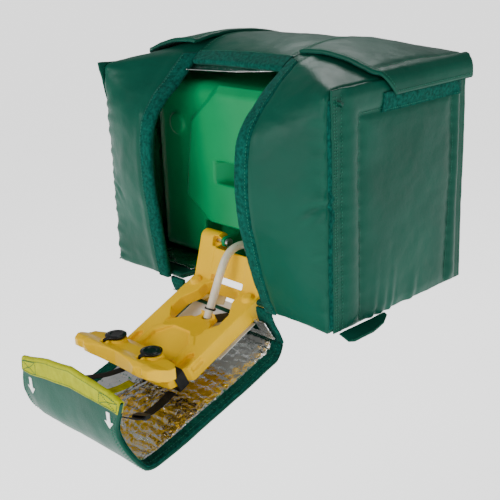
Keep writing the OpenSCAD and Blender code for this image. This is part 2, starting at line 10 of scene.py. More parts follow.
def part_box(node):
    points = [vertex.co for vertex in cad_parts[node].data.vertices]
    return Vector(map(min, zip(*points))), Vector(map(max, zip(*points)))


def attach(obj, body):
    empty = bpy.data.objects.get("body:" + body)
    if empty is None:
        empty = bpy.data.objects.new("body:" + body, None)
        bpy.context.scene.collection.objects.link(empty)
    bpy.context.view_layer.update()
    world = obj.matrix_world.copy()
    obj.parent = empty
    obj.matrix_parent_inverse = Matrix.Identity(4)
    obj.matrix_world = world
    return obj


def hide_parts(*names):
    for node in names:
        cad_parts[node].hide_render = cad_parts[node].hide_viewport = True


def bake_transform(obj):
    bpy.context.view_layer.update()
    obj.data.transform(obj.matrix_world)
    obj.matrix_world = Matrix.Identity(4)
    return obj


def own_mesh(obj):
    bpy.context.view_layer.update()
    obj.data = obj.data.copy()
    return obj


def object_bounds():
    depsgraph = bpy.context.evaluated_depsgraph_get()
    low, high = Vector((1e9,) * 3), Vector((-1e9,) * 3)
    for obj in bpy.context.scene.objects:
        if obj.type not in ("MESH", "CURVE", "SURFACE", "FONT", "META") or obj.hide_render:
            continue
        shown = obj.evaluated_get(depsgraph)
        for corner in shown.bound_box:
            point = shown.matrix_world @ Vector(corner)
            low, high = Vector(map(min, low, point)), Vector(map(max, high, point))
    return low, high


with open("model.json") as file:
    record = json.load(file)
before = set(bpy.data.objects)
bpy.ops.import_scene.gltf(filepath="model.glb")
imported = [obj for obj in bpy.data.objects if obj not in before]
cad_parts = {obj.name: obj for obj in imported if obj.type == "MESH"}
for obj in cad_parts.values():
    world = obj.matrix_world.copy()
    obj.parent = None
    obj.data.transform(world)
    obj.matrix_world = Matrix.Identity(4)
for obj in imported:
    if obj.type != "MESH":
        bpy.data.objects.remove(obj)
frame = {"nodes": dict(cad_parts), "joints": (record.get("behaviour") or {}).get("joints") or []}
cad_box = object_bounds()
nodes = frame["nodes"]

# ---------------------------------------------------------------- the frame
# Lengths below are in millimetres, in the cover's own terms: x to the right,
# y back from the cover's front plane, z up from its base. place() turns them
# into the part's frame, in metres.
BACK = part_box("back_panel")[1][1]
FRONT = -BACK
DEPTH = 2000 * BACK
HALF_W = 1000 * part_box("right_side_panel")[1][0]
CHEEK_X = 1000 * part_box("right_cheek")[1][0]
OPEN_X = 1000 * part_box("right_cheek")[0][0]
PAD = 14


def place(points):
    p = np.asarray(points, float).reshape(-1, 3) / 1000
    return p + np.array([0, FRONT, 0])


def hinge(name):
    """A joint's axis point, in this script's millimetres."""
    j = next(j for j in frame["joints"] if j["name"] == name)
    x, y, z = j["pos_m"]
    return np.array([x, y - FRONT, z]) * 1000


# ------------------------------------------------------------------- camera
# Turned about the vertical, tilted down and rolled a little.
YAW, PITCH, ROLL = (math.radians(a) for a in (46.655, 19.266, -2.286))
ahead = Vector((-math.sin(YAW) * math.cos(PITCH), math.cos(YAW) * math.cos(PITCH), -math.sin(PITCH)))
right = Vector((math.cos(YAW), math.sin(YAW), 0))
up = right.cross(ahead)
cam_x = right * math.cos(ROLL) + up * math.sin(ROLL)
cam_y = up * math.cos(ROLL) - right * math.sin(ROLL)
cam_data = bpy.data.cameras.new("camera")
cam_data.lens = 67.45
cam_data.sensor_width = 36
camera = bpy.data.objects.new("camera", cam_data)
bpy.context.scene.collection.objects.link(camera)
turn = Matrix((cam_x, cam_y, -ahead)).transposed().to_4x4()
camera.matrix_world = Matrix.Translation((1.5066, FRONT - 1.3102, 0.7970)) @ turn
bpy.context.scene.camera = camera


# ---------------------------------------------------------------- materials
def link(tree, a, b):
    tree.links.new(a, b)


def material(name, colour, rough=0.5, metal=0.0, vary=0.08, vary_size=60, bumps=(), sheen=0.0,
             subsurface=0.0, transmission=0.0, specular=0.5):
    """Procedural material. Sizes are in millimetres; bumps are (kind, size, depth)."""
    m = bpy.data.materials.new(name)
    m.use_nodes = True
    t = m.node_tree
    s = t.nodes["Principled BSDF"]
    s.inputs["Metallic"].default_value = metal
    s.inputs["Specular IOR Level"].default_value = specular
    s.inputs["Sheen Weight"].default_value = sheen
    s.inputs["Sheen Roughness"].default_value = 0.4
    s.inputs["Subsurface Weight"].default_value = subsurface
    s.inputs["Subsurface Scale"].default_value = 0.006
    s.inputs["Transmission Weight"].default_value = transmission
    coord = t.nodes.new("ShaderNodeTexCoord")
    # slow colour drift
    drift = t.nodes.new("ShaderNodeTexNoise")
    drift.inputs["Scale"].default_value = 1000 / vary_size
    drift.inputs["Detail"].default_value = 4
    link(t, coord.outputs["Object"], drift.inputs["Vector"])
    ramp = t.nodes.new("ShaderNodeValToRGB")
    dark = [c * (1 - 2.2 * vary) for c in colour]
    light = [min(1, c * (1 + vary) + 0.01 * vary) for c in colour]
    ramp.color_ramp.elements[0].position = 0.32
    ramp.color_ramp.elements[1].position = 0.68
    ramp.color_ramp.elements[0].color = (*dark, 1)
    ramp.color_ramp.elements[1].color = (*light, 1)
    link(t, drift.outputs["Fac"], ramp.inputs["Fac"])
    link(t, ramp.outputs["Color"], s.inputs["Base Color"])
    # roughness varies at a finer size
    fine = t.nodes.new("ShaderNodeTexNoise")
    fine.inputs["Scale"].default_value = 1000 / (vary_size * 0.25)
    fine.inputs["Detail"].default_value = 3
    link(t, coord.outputs["Object"], fine.inputs["Vector"])
    spread = t.nodes.new("ShaderNodeMapRange")
    spread.inputs["To Min"].default_value = max(0.02, rough - 0.07)
    spread.inputs["To Max"].default_value = min(1, rough + 0.07)
    link(t, fine.outputs["Fac"], spread.inputs["Value"])
    link(t, spread.outputs["Result"], s.inputs["Roughness"])
    last = None
    for kind, size, depth in bumps:
        if kind == "cells":
            tex = t.nodes.new("ShaderNodeTexVoronoi")
            out = tex.outputs["Distance"]
        elif kind == "weave":
            tex = t.nodes.new("ShaderNodeTexBrick")
            out = tex.outputs["Fac"]
            tex.inputs["Mortar Size"].default_value = 0.04
        elif kind in ("ribs_x", "ribs_y", "ribs_z"):
            tex = t.nodes.new("ShaderNodeTexWave")
            tex.bands_direction = kind[-1].upper()
            tex.inputs["Distortion"].default_value = 0.4
            out = tex.outputs["Fac"]
        else:
            tex = t.nodes.new("ShaderNodeTexNoise")
            tex.inputs["Detail"].default_value = 5
            out = tex.outputs["Fac"]
        tex.inputs["Scale"].default_value = 1000 / size
        link(t, coord.outputs["Object"], tex.inputs["Vector"])
        bump = t.nodes.new("ShaderNodeBump")
        bump.inputs["Strength"].default_value = 0.9
        bump.inputs["Distance"].default_value = depth / 1000
        link(t, out, bump.inputs["Height"])
        if last:
            link(t, last.outputs["Normal"], bump.inputs["Normal"])
        last = bump
    if last:
        link(t, last.outputs["Normal"], s.inputs["Normal"])
    return m


VINYL = material("vinyl", (0.0, 0.066, 0.040), rough=0.38, vary=0.10, vary_size=220,
                 bumps=(("noise", 9, 0.35), ("cells", 1.1, 0.10)), sheen=0.0, specular=0.12)
VINYL_IN = material("vinyl_inside", (0.0, 0.055, 0.034), rough=0.5, vary=0.12, vary_size=90,
                    bumps=(("noise", 12, 0.6),), specular=0.1)
TAPE = material("loop_tape", (0.0, 0.078, 0.056), rough=0.95, vary=0.22, vary_size=7,
                bumps=(("noise", 2.2, 1.6), ("noise", 0.8, 0.8)), sheen=0.04, specular=0.04)
FOIL = material("foil", (0.80, 0.81, 0.80), rough=0.14, metal=1.0, vary=0.05, vary_size=40,
                bumps=(("noise", 13, 2.4), ("cells", 9, 1.4), ("noise", 4, 0.7)))
TANK = material("tank_plastic", (0.0, 0.26, 0.085), rough=0.33, vary=0.05, vary_size=160,
                bumps=(("noise", 3.5, 0.10),), specular=0.16)
TRAY = material("tray_plastic", (0.98, 0.57, 0.0), rough=0.34, vary=0.035, vary_size=90,
                bumps=(("noise", 2.5, 0.08),), specular=0.12)
LEMON = material("yellow_webbing", (0.42, 0.45, 0.0), rough=0.7, vary=0.08, vary_size=16,
                 bumps=(("ribs_x", 5.5, 0.5), ("ribs_z", 8.5, 0.4)), specular=0.15)
BLACK_WEB = material("black_webbing", (0.008, 0.008, 0.009), rough=0.62, vary=0.2, vary_size=12,
                     bumps=(("ribs_x", 6, 0.5), ("ribs_y", 7, 0.4)), specular=0.3)
BLACK = material("black_plastic", (0.008, 0.008, 0.009), rough=0.34, vary=0.15, vary_size=20,
                 bumps=(("noise", 1.5, 0.06),), specular=0.35)
RUBBER = material("cap_rubber", (0.005, 0.005, 0.006), rough=0.2, vary=0.15, vary_size=14,
                  bumps=(("noise", 2.0, 0.08),), specular=0.4)
STEEL = material("steel", (0.62, 0.62, 0.63), rough=0.3, metal=1.0, vary=0.05, vary_size=8,
                 bumps=(("noise", 0.7, 0.05),))
HOSE = material("hose", (0.84, 0.78, 0.62), rough=0.3, vary=0.05, vary_size=25,
                bumps=(("noise", 6, 0.1),), subsurface=0.3, transmission=0.15)
CARD = material("card", (0.90, 0.90, 0.88), rough=0.35, vary=0.02, vary_size=50,
                bumps=(("noise", 20, 0.3),))
PRINT = material("dark_print", (0.03, 0.035, 0.03), rough=0.45, vary=0.2, vary_size=6,
                 bumps=(("noise", 3, 0.05),))
TAN = material("tan_print", (0.62, 0.50, 0.26), rough=0.45, vary=0.06, vary_size=12,
               bumps=(("noise", 3, 0.05),))
WHITE_INK = material("white_ink", (0.92, 0.92, 0.90), rough=0.55, vary=0.03, vary_size=9,
                     bumps=(("noise", 1.5, 0.1),))
THREAD = material("green_thread", (0.02, 0.19, 0.115), rough=0.6, vary=0.15, vary_size=5,
                  bumps=(("noise", 0.6, 0.2),), specular=0.2)


# ------------------------------------------------------------- mesh building
def add(name, verts, faces, mats, face_mats=None, body="cover", smooth=True):
    mesh = bpy.data.meshes.new(name)
    mesh.from_pydata([tuple(v) for v in verts], [], [tuple(f) for f in faces])
    for m in mats:
        mesh.materials.append(m)
    if face_mats is not None:
        mesh.polygons.foreach_set("material_index", np.asarray(face_mats, np.int32))
    mesh.polygons.foreach_set("use_smooth", np.full(len(mesh.polygons), smooth))
    bm = bmesh.new()
    bm.from_mesh(mesh)
    bmesh.ops.recalc_face_normals(bm, faces=bm.faces)
    bm.to_mesh(mesh)
    bm.free()
    obj = bpy.data.objects.new(name, mesh)
    bpy.context.scene.collection.objects.link(obj)
    if body:
        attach(obj, body)
    return obj


def solid(name, outer, inner, mats, body="cover", ring=False):
    """A closed solid between two grids of points, [row][column], in millimetres."""
    rows, cols = outer.shape[:2]
    n = rows * cols
    grid = np.arange(n).reshape(rows, cols)
    if ring:
        grid = np.vstack([grid, grid[:1]])
    faces, which = [], []

    def quads(g, m):
        q = np.stack([g[:-1, :-1], g[:-1, 1:], g[1:, 1:], g[1:, :-1]], -1).reshape(-1, 4)
        faces.extend(q.tolist())
        which.extend([m] * len(q))

    quads(grid, 0)
    quads(grid + n, 1 if len(mats) > 1 else 0)
    edges = (grid[:, 0], grid[:, -1]) if ring else (grid[0], grid[-1], grid[:, 0], grid[:, -1])
    for edge in edges:
        quads(np.stack([edge, edge + n]), 0)
    verts = place(np.concatenate([outer.reshape(-1, 3), inner.reshape(-1, 3)]))
    return add(name, verts, faces, mats, which, body)


def lumps(points, size, seed=0, octaves=3):
    """Soft random lumps about size millimetres across, roughly -1 to 1."""
    p = np.asarray(points, float)
    flat = p.reshape(-1, 3) / size + np.array([7.3, 3.1, 5.7]) * (seed + 1)
    out = np.array([noise.fractal(Vector(q), 1.0, 2.0, octaves) for q in flat])
    return out.reshape(p.shape[:-1])


def curve(points, per=12):
    """Catmull-Rom curve through points, per steps to each span."""
    p = np.asarray(points, float)
    q = np.vstack([2 * p[0] - p[1], p, 2 * p[-1] - p[-2]])
    out = []
    for i in range(1, len(q) - 2):
        for s in np.arange(per) / per:
            a, b, c, d = q[i - 1], q[i], q[i + 1], q[i + 2]
            out.append(0.5 * (2 * b + (c - a) * s + (2 * a - 5 * b + 4 * c - d) * s**2
                              + (3 * b - a - 3 * c + d) * s**3))
    out.append(p[-1])
    return np.array(out)


def run_along(line):
    """Distance along a line, at each of its points."""
    return np.concatenate([[0], np.cumsum(np.linalg.norm(np.diff(line, axis=0), axis=1))])


def on_axis(axis, amount):
    """Offsets along one axis: 0 for x, 1 for y, 2 for z."""
    out = np.zeros(np.shape(amount) + (3,))
    out[..., axis] = amount
    return out


def headings(line):
    """Unit direction of a line at each of its points."""
    d = np.gradient(line, axis=0)
    d /= np.linalg.norm(d, axis=1, keepdims=True)
    return d


def even(points, pitch):
    """The same line with points about pitch apart."""
    p = np.asarray(points, float)
    run = run_along(p)
    at = np.linspace(0, run[-1], max(2, int(round(run[-1] / pitch)) + 1))
    return np.stack([np.interp(at, run, p[:, k]) for k in range(p.shape[1])], -1)


def steps(length, pitch, edge=7):
    """Distances from 0 to length, finer near both ends where the edge is rounded."""
    near = edge * np.array([0, 0.06, 0.2, 0.42, 0.7, 1.0])
    mid = np.linspace(edge, length - edge, max(2, int((length - 2 * edge) / pitch)))
    return np.concatenate([near[:-1], mid, (length - near[:-1])[::-1]])


def normals(grid):
    du = np.gradient(grid, axis=1)
    dv = np.gradient(grid, axis=0)
    n = np.cross(du, dv)
    return n / np.maximum(np.linalg.norm(n, axis=-1, keepdims=True), 1e-9)


def rounding(d, r):
    """How far a surface has dropped at distance d inside an edge of radius r."""
    k = np.clip(1 - d / r, 0, 1)
    return r - r * np.sqrt(1 - k * k)


def gap(points, line):
    """Distance from each 2-D point to a polyline."""
    p = np.asarray(points, float)
    best = np.full(p.shape[:-1], 1e9)
    for a, b in zip(line[:-1], line[1:]):
        a, b = np.asarray(a, float), np.asarray(b, float)
        d = b - a
        s = np.clip(((p - a) @ d) / (d @ d), 0, 1)
        best = np.minimum(best, np.linalg.norm(p - a - s[..., None] * d, axis=-1))
    return best


class Threads:
    """Gathers stitches for one body, and makes them one mesh."""

    def __init__(self, name, body, mat=None, slot="vinyl"):
        self.name, self.body, self.mat, self.slot = name, body, mat or THREAD, slot
        self.verts, self.faces = [], []

    def sew(self, line, ups, pitch=6.5, length=4.6, width=1.5, lift=0.5):
        line = np.asarray(line, float)
        ups = np.asarray(ups, float)
        if len(ups) != len(line):
            ups = np.tile(ups.reshape(1, 3), (len(line), 1))
        run = run_along(line)
        for s in np.arange(pitch / 2, run[-1] - pitch / 2, pitch):
            a = np.array([np.interp(s - length / 2, run, line[:, k]) for k in range(3)])
            b = np.array([np.interp(s + length / 2, run, line[:, k]) for k in range(3)])
            n = np.array([np.interp(s, run, ups[:, k]) for k in range(3)])
            n /= np.linalg.norm(n) + 1e-9
            d = (b - a) / (np.linalg.norm(b - a) + 1e-9)
            w = np.cross(n, d)
            m = (a + b) / 2 + n * lift
            k = len(self.verts)
            self.verts += [a - n * 0.4, b - n * 0.4]
            for q in (-0.5, 0.5):
                c = m + d * length * q * 0.55
                self.verts += [c + w * width / 2, c + n * width * 0.6, c - w * width / 2]
            for t in range(3):
                u = (t + 1) % 3
                self.faces += [(k, k + 2 + t, k + 2 + u), (k + 1, k + 5 + u, k + 5 + t),
                               (k + 2 + t, k + 5 + t, k + 5 + u, k + 2 + u)]

    def build(self):
        return add(self.name, place(self.verts), self.faces, [self.mat], body=self.body)


FINE = {"pitch": 6.5, "length": 4.4}
LONG = {"pitch": 7, "length": 4.4}
cover_threads = Threads("cover_stitching", "cover")


# ------------------------------------------------------------ cover: profiles
# Line of the cover's front and top, y then z, from the base over to the back:
# at the opening's right edge, its flatter left edge, and the outer corner.
EDGE_LINE = [(0, 0), (-28, 67), (-58, 167), (-76, 259), (-74, 344), (-56, 404), (-18, 448),
             (27, 484), (70, 512), (112, 534), (180, 547), (250, 550), (320, 544), (385, 532),
             (DEPTH, 514)]
LEFT_LINE = [(-8, 0), (-17, 62), (-28, 158), (-38, 250), (-34, 320), (-20, 380), (14, 424),
             (56, 458), (104, 500), (136, 524), (190, 545), (250, 550), (320, 544), (385, 532),
             (DEPTH, 514)]
CORNER_LINE = [(-12, 0), (-12, 66), (-12, 160), (-12, 250), (-12, 335), (-12, 400), (-12, 440),
               (-11, 468), (-3, 490), (26, 500), (110, 501), (200, 501), (290, 501), (370, 500),
               (DEPTH, 496)]
SHOULDER = 8  # the point of the two lines where the front becomes the top


def cheek_grid(side, per=12):
    """Outside of a cheek and the top beside it; columns run from the opening outwards."""
    a, b = curve(EDGE_LINE if side > 0 else LEFT_LINE, per), curve(CORNER_LINE, per)
    spans = steps(CHEEK_X - 8 - OPEN_X, 5.5)[:-5]
    t = np.append(spans, CHEEK_X - 8 - OPEN_X) / (CHEEK_X - 8 - OPEN_X)
    index = np.arange(len(a)) / per
    cols = []
    for s in t:
        y = a[:, 0] * (1 - s) + b[:, 0] * s
        z = a[:, 1] * (1 - s**1.4) + b[:, 1] * s**1.4
        flat = 1 - np.clip(index / SHOULDER, 0, 1)**4
        z = z * (1 - flat) + flat * (a[:, 1] * (1 - s) + b[:, 1] * s)
        puff = 4 * s * (1 - s) * 12 * np.sin(np.pi * np.clip(index / SHOULDER, 0, 1))
        cols.append(np.stack([np.full(len(a), OPEN_X + s * (CHEEK_X - 8 - OPEN_X)), y - puff, z], -1))
    # wrap the outer corner
    tang = headings(b)
    into = np.stack([tang[:, 1], -tang[:, 0]], -1)
    for x, deep in ((CHEEK_X - 3, 1.5), (CHEEK_X, 6), (CHEEK_X + 0.5, 14), (CHEEK_X, 24),
                    (CHEEK_X - 1, 36)):
        p = b + into * deep
        cols.append(np.stack([np.full(len(a), x), p[:, 0], p[:, 1]], -1))
    g = np.stack(cols, 1)
    return g, index, np.append(t, [1] * 5)


def cheek(side, name, tape_name, corner_name):
    g, index, t = cheek_grid(side)
    n = normals(g)
    n *= np.sign(n[40, 10, 1]) * -1
    x, z, y = g[..., 0], g[..., 2], g[..., 1]
    seed = 3 if side > 0 else 8
    relief = 3.2 * lumps(g, 150, seed) + 1.3 * lumps(g, 45, seed + 1)
    # puckers that run in from the corner seam
    off = np.clip(CHEEK_X - x, 0, None)
    wave = np.sin(z / 6.3 + 3 * lumps(g * [0.1, 0, 1], 60, seed + 2))
    relief += 2.1 * wave * np.exp(-off / 20) * (off > 1) * np.clip((500 - z) / 30, 0, 1)
    # long creases at mid height
    xz = np.stack([x, z], -1)
    for line, depth in (([(352, 276), (318, 262), (282, 234)], 6.5),
                        ([(352, 268), (326, 240), (300, 222)], 4.0),
                        ([(352, 168), (320, 150), (296, 146)], 2.6),
                        ([(352, 96), (330, 84), (300, 86)], 2.2)):
        if side < 0:
            line = [(a, b - 60) for a, b in line]
            depth *= 0.5
        d = gap(xz, line)
        reach = np.clip((x - line[-1][0]) / 40, 0, 1)
        relief += reach * (-depth * np.exp(-(d / 4.5)**2) + 0.55 * depth * np.exp(-((d - 12) / 8)**2))
    # a soft roll just behind the tape, and a light scallop along the edge
    from_edge = x - OPEN_X
    relief += 2.0 * np.exp(-((from_edge - 44) / 12)**2) - 1.6 * np.exp(-((from_edge - 34) / 3.0)**2)
    relief[:, -3:] *= 0.3
    out = g + n * relief[..., None]
    run = np.cumsum(np.linalg.norm(np.diff(g[:, 5], axis=0), axis=1))
    run = np.concatenate([[0], run])[:, None]
    edge = np.minimum(from_edge, run)
    drop = rounding(edge, PAD / 2)[..., None]
    back = np.minimum(run[-1] - run, 60)
    drop = np.maximum(drop, rounding(back, PAD / 2)[..., None])
    outer, inner = out - n * drop, g - n * (PAD - drop)
    flip = np.array([side, 1, 1])
    pad = solid(name, outer * flip, inner * flip, [VINYL, VINYL_IN])
    # soft tape along the opening's edge
    rows = index <= SHOULDER + 0.8
    wide = (from_edge[0] < 37) & (t < 1)
    s_g, s_n = out[rows][:, wide], n[rows][:, wide]
    s_x = from_edge[rows][:, wide]
    frill = 1.0 * lumps(s_g, 9, seed + 5)
    s_drop = rounding(s_x, PAD / 2)
    top = s_g + s_n * (2.4 - s_drop)[..., None]
    top[:, 0] -= s_n[:, 0] * 2.0
    top[..., 0] += (frill - 1.4) * np.exp(-s_x / 8)
    low = s_g + s_n * (-1.0 - s_drop)[..., None]
    top[:, -1] = low[:, -1] + s_n[:, -1] * 1.2
    tape = solid(tape_name, top * flip, low * flip, [TAPE])
    cover_threads.sew(top[:, -2] * flip, s_n[:, -2] * flip, **LONG)
    # tape on the corner, under the side panel's edge
    rows = (index > 0.1) & (index <= SHOULDER - 0.5)
    c_g, c_n = out[rows][:, -4:], n[rows][:, -4:]
    top = c_g + c_n * 2.2
    top[:, 0] += (0.8 * lumps(c_g[:, 0], 8, seed))[:, None] * np.array([0, 1, 0])
    corner = solid(corner_name, top * flip, (c_g - c_n) * flip, [TAPE])
    return pad, tape, corner


for side, word in ((-1, "left"), (1, "right")):
    pad, tape, corner = cheek(side, word + "_cheek_pad", word + "_edge_tape", word + "_corner_tape")
    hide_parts(word + "_cheek")
    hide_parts(word + "_edge_loop")
    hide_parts(word + "_corner_loop")


# ------------------------------------------------------------ cover: top
def crown_point(x):
    """The top's line at a place between the two cheeks."""
    k = float(np.clip((x + OPEN_X) / (2 * OPEN_X), 0, 1))
    a = k * curve(EDGE_LINE[SHOULDER:], 14) + (1 - k) * curve(LEFT_LINE[SHOULDER:], 14)
    rise = 7 * math.cos(math.pi * x / (2 * OPEN_X)) * np.sin(
        np.pi * np.clip((a[:, 0] - 60) / (DEPTH - 60), 0, 1))
    return np.stack([np.full(len(a), x), a[:, 0], a[:, 1] + rise], -1)


def top_cover():
    xs = steps(2 * OPEN_X, 7) - OPEN_X
    g = np.stack([crown_point(x) for x in xs], 1)
    n = normals(g)
    n *= np.sign(n[20, 20, 2])
    out = g + n * (2.5 * lumps(g, 120, 21) + 0.9 * lumps(g, 40, 22))[..., None]
    run = run_along(g[:, 5])[:, None]
    side = OPEN_X - np.abs(g[..., 0])
    d = np.minimum(np.minimum(run, run[-1] - run), side + 2.5)
    drop = rounding(d, PAD / 2)[..., None]
    pad = solid("top_pad", out - n * drop, g - n * (PAD - drop), [VINYL, VINYL_IN])
    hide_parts("top_panel")
    # tape along the opening's top edge
    rows = (run[:, 0] < 38)
    s_g, s_n, s_r = out[rows], n[rows], run[rows] + 0 * g[rows][..., 0]
    s_d = rounding(s_r, PAD / 2)
    frill = 1.0 * lumps(s_g, 9, 31)
    top = s_g + s_n * (2.4 - s_d)[..., None]
    top[..., 1] += (frill - 1.2) * np.exp(-s_r / 8)
    top[0] -= s_n[0] * 2
    low = s_g + s_n * (-1.0 - s_d)[..., None]
    top[-1] = low[-1] + s_n[-1] * 1.2
    tape = solid("top_edge_tape", top, low, [TAPE])
    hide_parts("top_edge_loop")
    cover_threads.sew(top[-2], s_n[-2], **LONG)
    # twin rows of stitches beside the seams over the top
    for s in (-1, 1):
        for off in (5, 11):
            line = crown_point(s * (OPEN_X - off))[14:]
            cover_threads.sew(line + [0, 0, 0.6], np.array([0, 0, 1.0]), **LONG)
    return pad


top_cover()


# ------------------------------------------------------------ cover: sides
def side_panel(side, name):
    ys = steps(DEPTH - 3, 5) + 3
    zs = steps(497, 5)
    Y, Z = np.meshgrid(ys, zs)
    seed = 40 if side > 0 else 50
    g = np.stack([np.full(Y.shape, HALF_W - 3.0), Y, Z], -1)
    # ragged sewn outline
    yz = np.stack([Y, Z], -1)
    flange = 28 + 1.5 * lumps(g * [0, 0, 1], 70, seed)
    rect = [(82, -20), (84, 150), (79, 300), (79, 441), (392, 441), (394, 250), (386, 100), (380, -20)]
    d_rect = gap(yz, rect)
    d_flange = np.abs(Y - flange)
    d_back = np.abs(Y - 424)
    inside = (Y > 81) & (Y < 390) & (Z < 441)
    seam = np.minimum(np.minimum(d_rect, d_flange), d_back)
    puff = np.where(inside, 7.0, 9.0) * (1 - np.exp(-seam / np.where(inside, 16, 9)))
    puff *= np.clip(Z / 22, 0, 1)**0.5 * np.clip((500 - Z) / 20, 0, 1)**0.5
    thin = (Y < flange) | (Y > 426)
    puff = np.where(thin, 1.5 * np.exp(-seam / 12), puff)
    relief = puff + 1.8 * lumps(g, 130, seed + 1) + 0.6 * lumps(g, 35, seed + 2)
    wave = np.sin(Z / 4.4 + 3 * lumps(g * [0, 0.2, 1], 50, seed + 3))
    relief += 0.9 * wave * np.exp(-d_rect / 9) * (Z > 4)
    relief += 1.1 * wave * np.exp(-d_flange / 10)
    # the lower edge gathers in a few short folds
    for y0, wide in ((118, 9), (150, 14), (176, 10), (255, 16)):
        relief += 4 * np.exp(-((Y - y0 - (Z * 0.12)) / wide)**2) * np.exp(-Z / 45)
        relief -= 3 * np.exp(-((Y - y0 - 14 - (Z * 0.12)) / (wide * 0.6))**2) * np.exp(-Z / 40)
    out = g + on_axis(0, relief)
    edge = np.minimum(np.minimum(Y - 3, DEPTH - Y), np.minimum(Z, 497 - Z))
    thick = np.where(thin, 4.5, PAD)
    drop = rounding(edge, 2.2)
    outer = out - on_axis(0, drop)
    inner = g - on_axis(0, thick - drop)
    # the front edge waves, and stands away from the corner at the top
    flare = np.clip((Z - 300) / 200, 0, 1)**1.5
    lift = np.clip((34 - Y) / 34, 0, 1)
    for q in (outer, inner):
        q[..., 1] += lift * (1.8 * lumps(g * [0, 0, 1], 26, seed + 6)
                             - (26 if side < 0 else 5) * flare)
        q[..., 0] += lift * ((9 if side < 0 else 3) * flare + 1.0 * lumps(g * [0, 0, 1], 34, seed + 7))
        q[..., 2] += 1.6 * lumps(g * [0, 1, 0], 40, seed + 8) * np.exp(-np.minimum(Z, 497 - Z) / 12)
    flip = np.array([side, 1, 1])
    pad = solid(name, outer * flip, inner * flip, [VINYL, VINYL_IN])

    def on(y, z, lift_=0.0):
        i = np.clip(np.searchsorted(zs, z), 0, len(zs) - 1)
        j = np.clip(np.searchsorted(ys, y), 0, len(ys) - 1)
        p = outer[i, j] + [lift_, y - Y[i, j], z - Z[i, j]]
        return p * flip

    face = np.array([side, 0, 0.0])
    for y in (9, 15, 27):
        line = [on(y, z) for z in np.arange(6, 492, 4.0)]
        cover_threads.sew(line, face, pitch=6.5 if y < 20 else 7.5, length=4.4)
    for a, b in zip(rect[:-1], rect[1:]):
        pts = even([a, b], 4)
        pts = pts[pts[:, 1] > 3]
        cover_threads.sew([on(y, z) for y, z in pts], face, **FINE)
    for y in (424, 438):
        cover_threads.sew([on(y, z) for z in np.arange(6, 492, 4.0)], face, **FINE)
    # tape under the top flap's edge
    ty = steps(272, 6, edge=2) + 148
    tz = steps(40, 5, edge=2) + 432
    A, B = np.meshgrid(ty, tz)
    base = np.array([[on(y, z) for y in ty] for z in tz]) * flip
    base[..., 0] = np.maximum(base[..., 0], HALF_W - 1)
    face_ = base + [2.6, 0, 0]
    face_[..., 2] += np.where(B < 436, 1.4 * lumps(face_, 10, seed), 0)
    tape = solid(name.replace("_pad", "_tape"), face_ * flip, (base - [2, 0, 0]) * flip, [TAPE])
    cover_threads.sew([on(y, 436, 3.2) for y in np.arange(152, 418, 4.0)], face, **FINE)
    return pad, tape


for side, word in ((-1, "left"), (1, "right")):
    pad, tape = side_panel(side, word + "_side_pad")
    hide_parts(word + "_side_panel")
    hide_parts(word + "_side_loop")


# ------------------------------------------------------------ cover: back and base
def back_panel():
    xs = steps(2 * (HALF_W - 4), 8) - (HALF_W - 4)
    hs = steps(1, 0.02, edge=0.02)
    X, H = np.meshgrid(xs, hs)
    top = 497 + 18 * (1 - (np.abs(X) / HALF_W)**2)
    Z = H * top
    g = np.stack([X, np.full(X.shape, DEPTH - 3.0), Z], -1)
    seam = np.minimum(np.abs(np.abs(X) - 318), np.abs(Z - 36))
    seam = np.minimum(seam, np.abs(Z - 470))
    relief = 8 * (1 - np.exp(-seam / 14)) + 2 * lumps(g, 120, 61) + 0.7 * lumps(g, 36, 62)
    edge = np.minimum(HALF_W - 4 - np.abs(X), np.minimum(Z, top - Z))
    drop = rounding(edge, PAD / 2)
    relief *= np.clip(edge / 26, 0, 1)
    outer = g + on_axis(1, relief - drop)
    inner = g - on_axis(1, PAD - drop)
    pad = solid("back_pad", outer, inner, [VINYL, VINYL_IN])
    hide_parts("back_panel")
    for x in (-318, 318):
        cover_threads.sew([(x, DEPTH - 2, z) for z in np.arange(8, 492, 4.0)], [0, 1, 0])
    for z in (36, 470):
        cover_threads.sew([(x, DEPTH - 2, z) for x in np.arange(-316, 316, 4.0)], [0, 1, 0])


def notch(x, deep):
    return deep * np.clip((128 - np.abs(x)) / 8, 0, 1)


def base_panel():
    xs = steps(2 * (CHEEK_X - 4), 9) - (CHEEK_X - 4)
    ys = steps(DEPTH - 6, 9) + 3
    X, Y = np.meshgrid(xs, ys)
    # the tray passes through a notch in the front edge
    Y2 = Y + notch(X, 75) * np.clip(1 - Y / 180, 0, 1)
    g = np.stack([X, Y2, 0 * X], -1)
    edge = np.minimum(CHEEK_X - 4 - np.abs(X), np.minimum(Y - 3, DEPTH - 3 - Y))
    drop = rounding(edge, PAD / 2)
    up_ = on_axis(2, PAD - drop + 1.2 * lumps(g, 60, 71))
    low = g + on_axis(2, drop)
    pad = solid("base_pad", low, g + up_, [VINYL, VINYL_IN])
    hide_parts("floor_panel")


back_panel()
base_panel()

# ------------------------------------------------------------ foil linings
FOIL_T = 1.2


def crinkle(points, seed):
    """Relief of crushed foil: sharp little ridges on soft quilting."""
    big = np.abs(lumps(points, 26, seed, 2))
    small = np.abs(lumps(points, 9, seed + 1, 2))
    return 3.4 * big + 1.5 * small


def lining(name, grid, up_, seed):
    up_ = np.asarray(up_, float)
    relief = crinkle(grid, seed)[..., None]
    edge = np.ones(grid.shape[:2])
    edge[0] = edge[-1] = 0
    edge[:, 0] = edge[:, -1] = 0
    top = grid + up_ * (FOIL_T + relief * edge[..., None])
    return solid(name, top, grid, [FOIL])


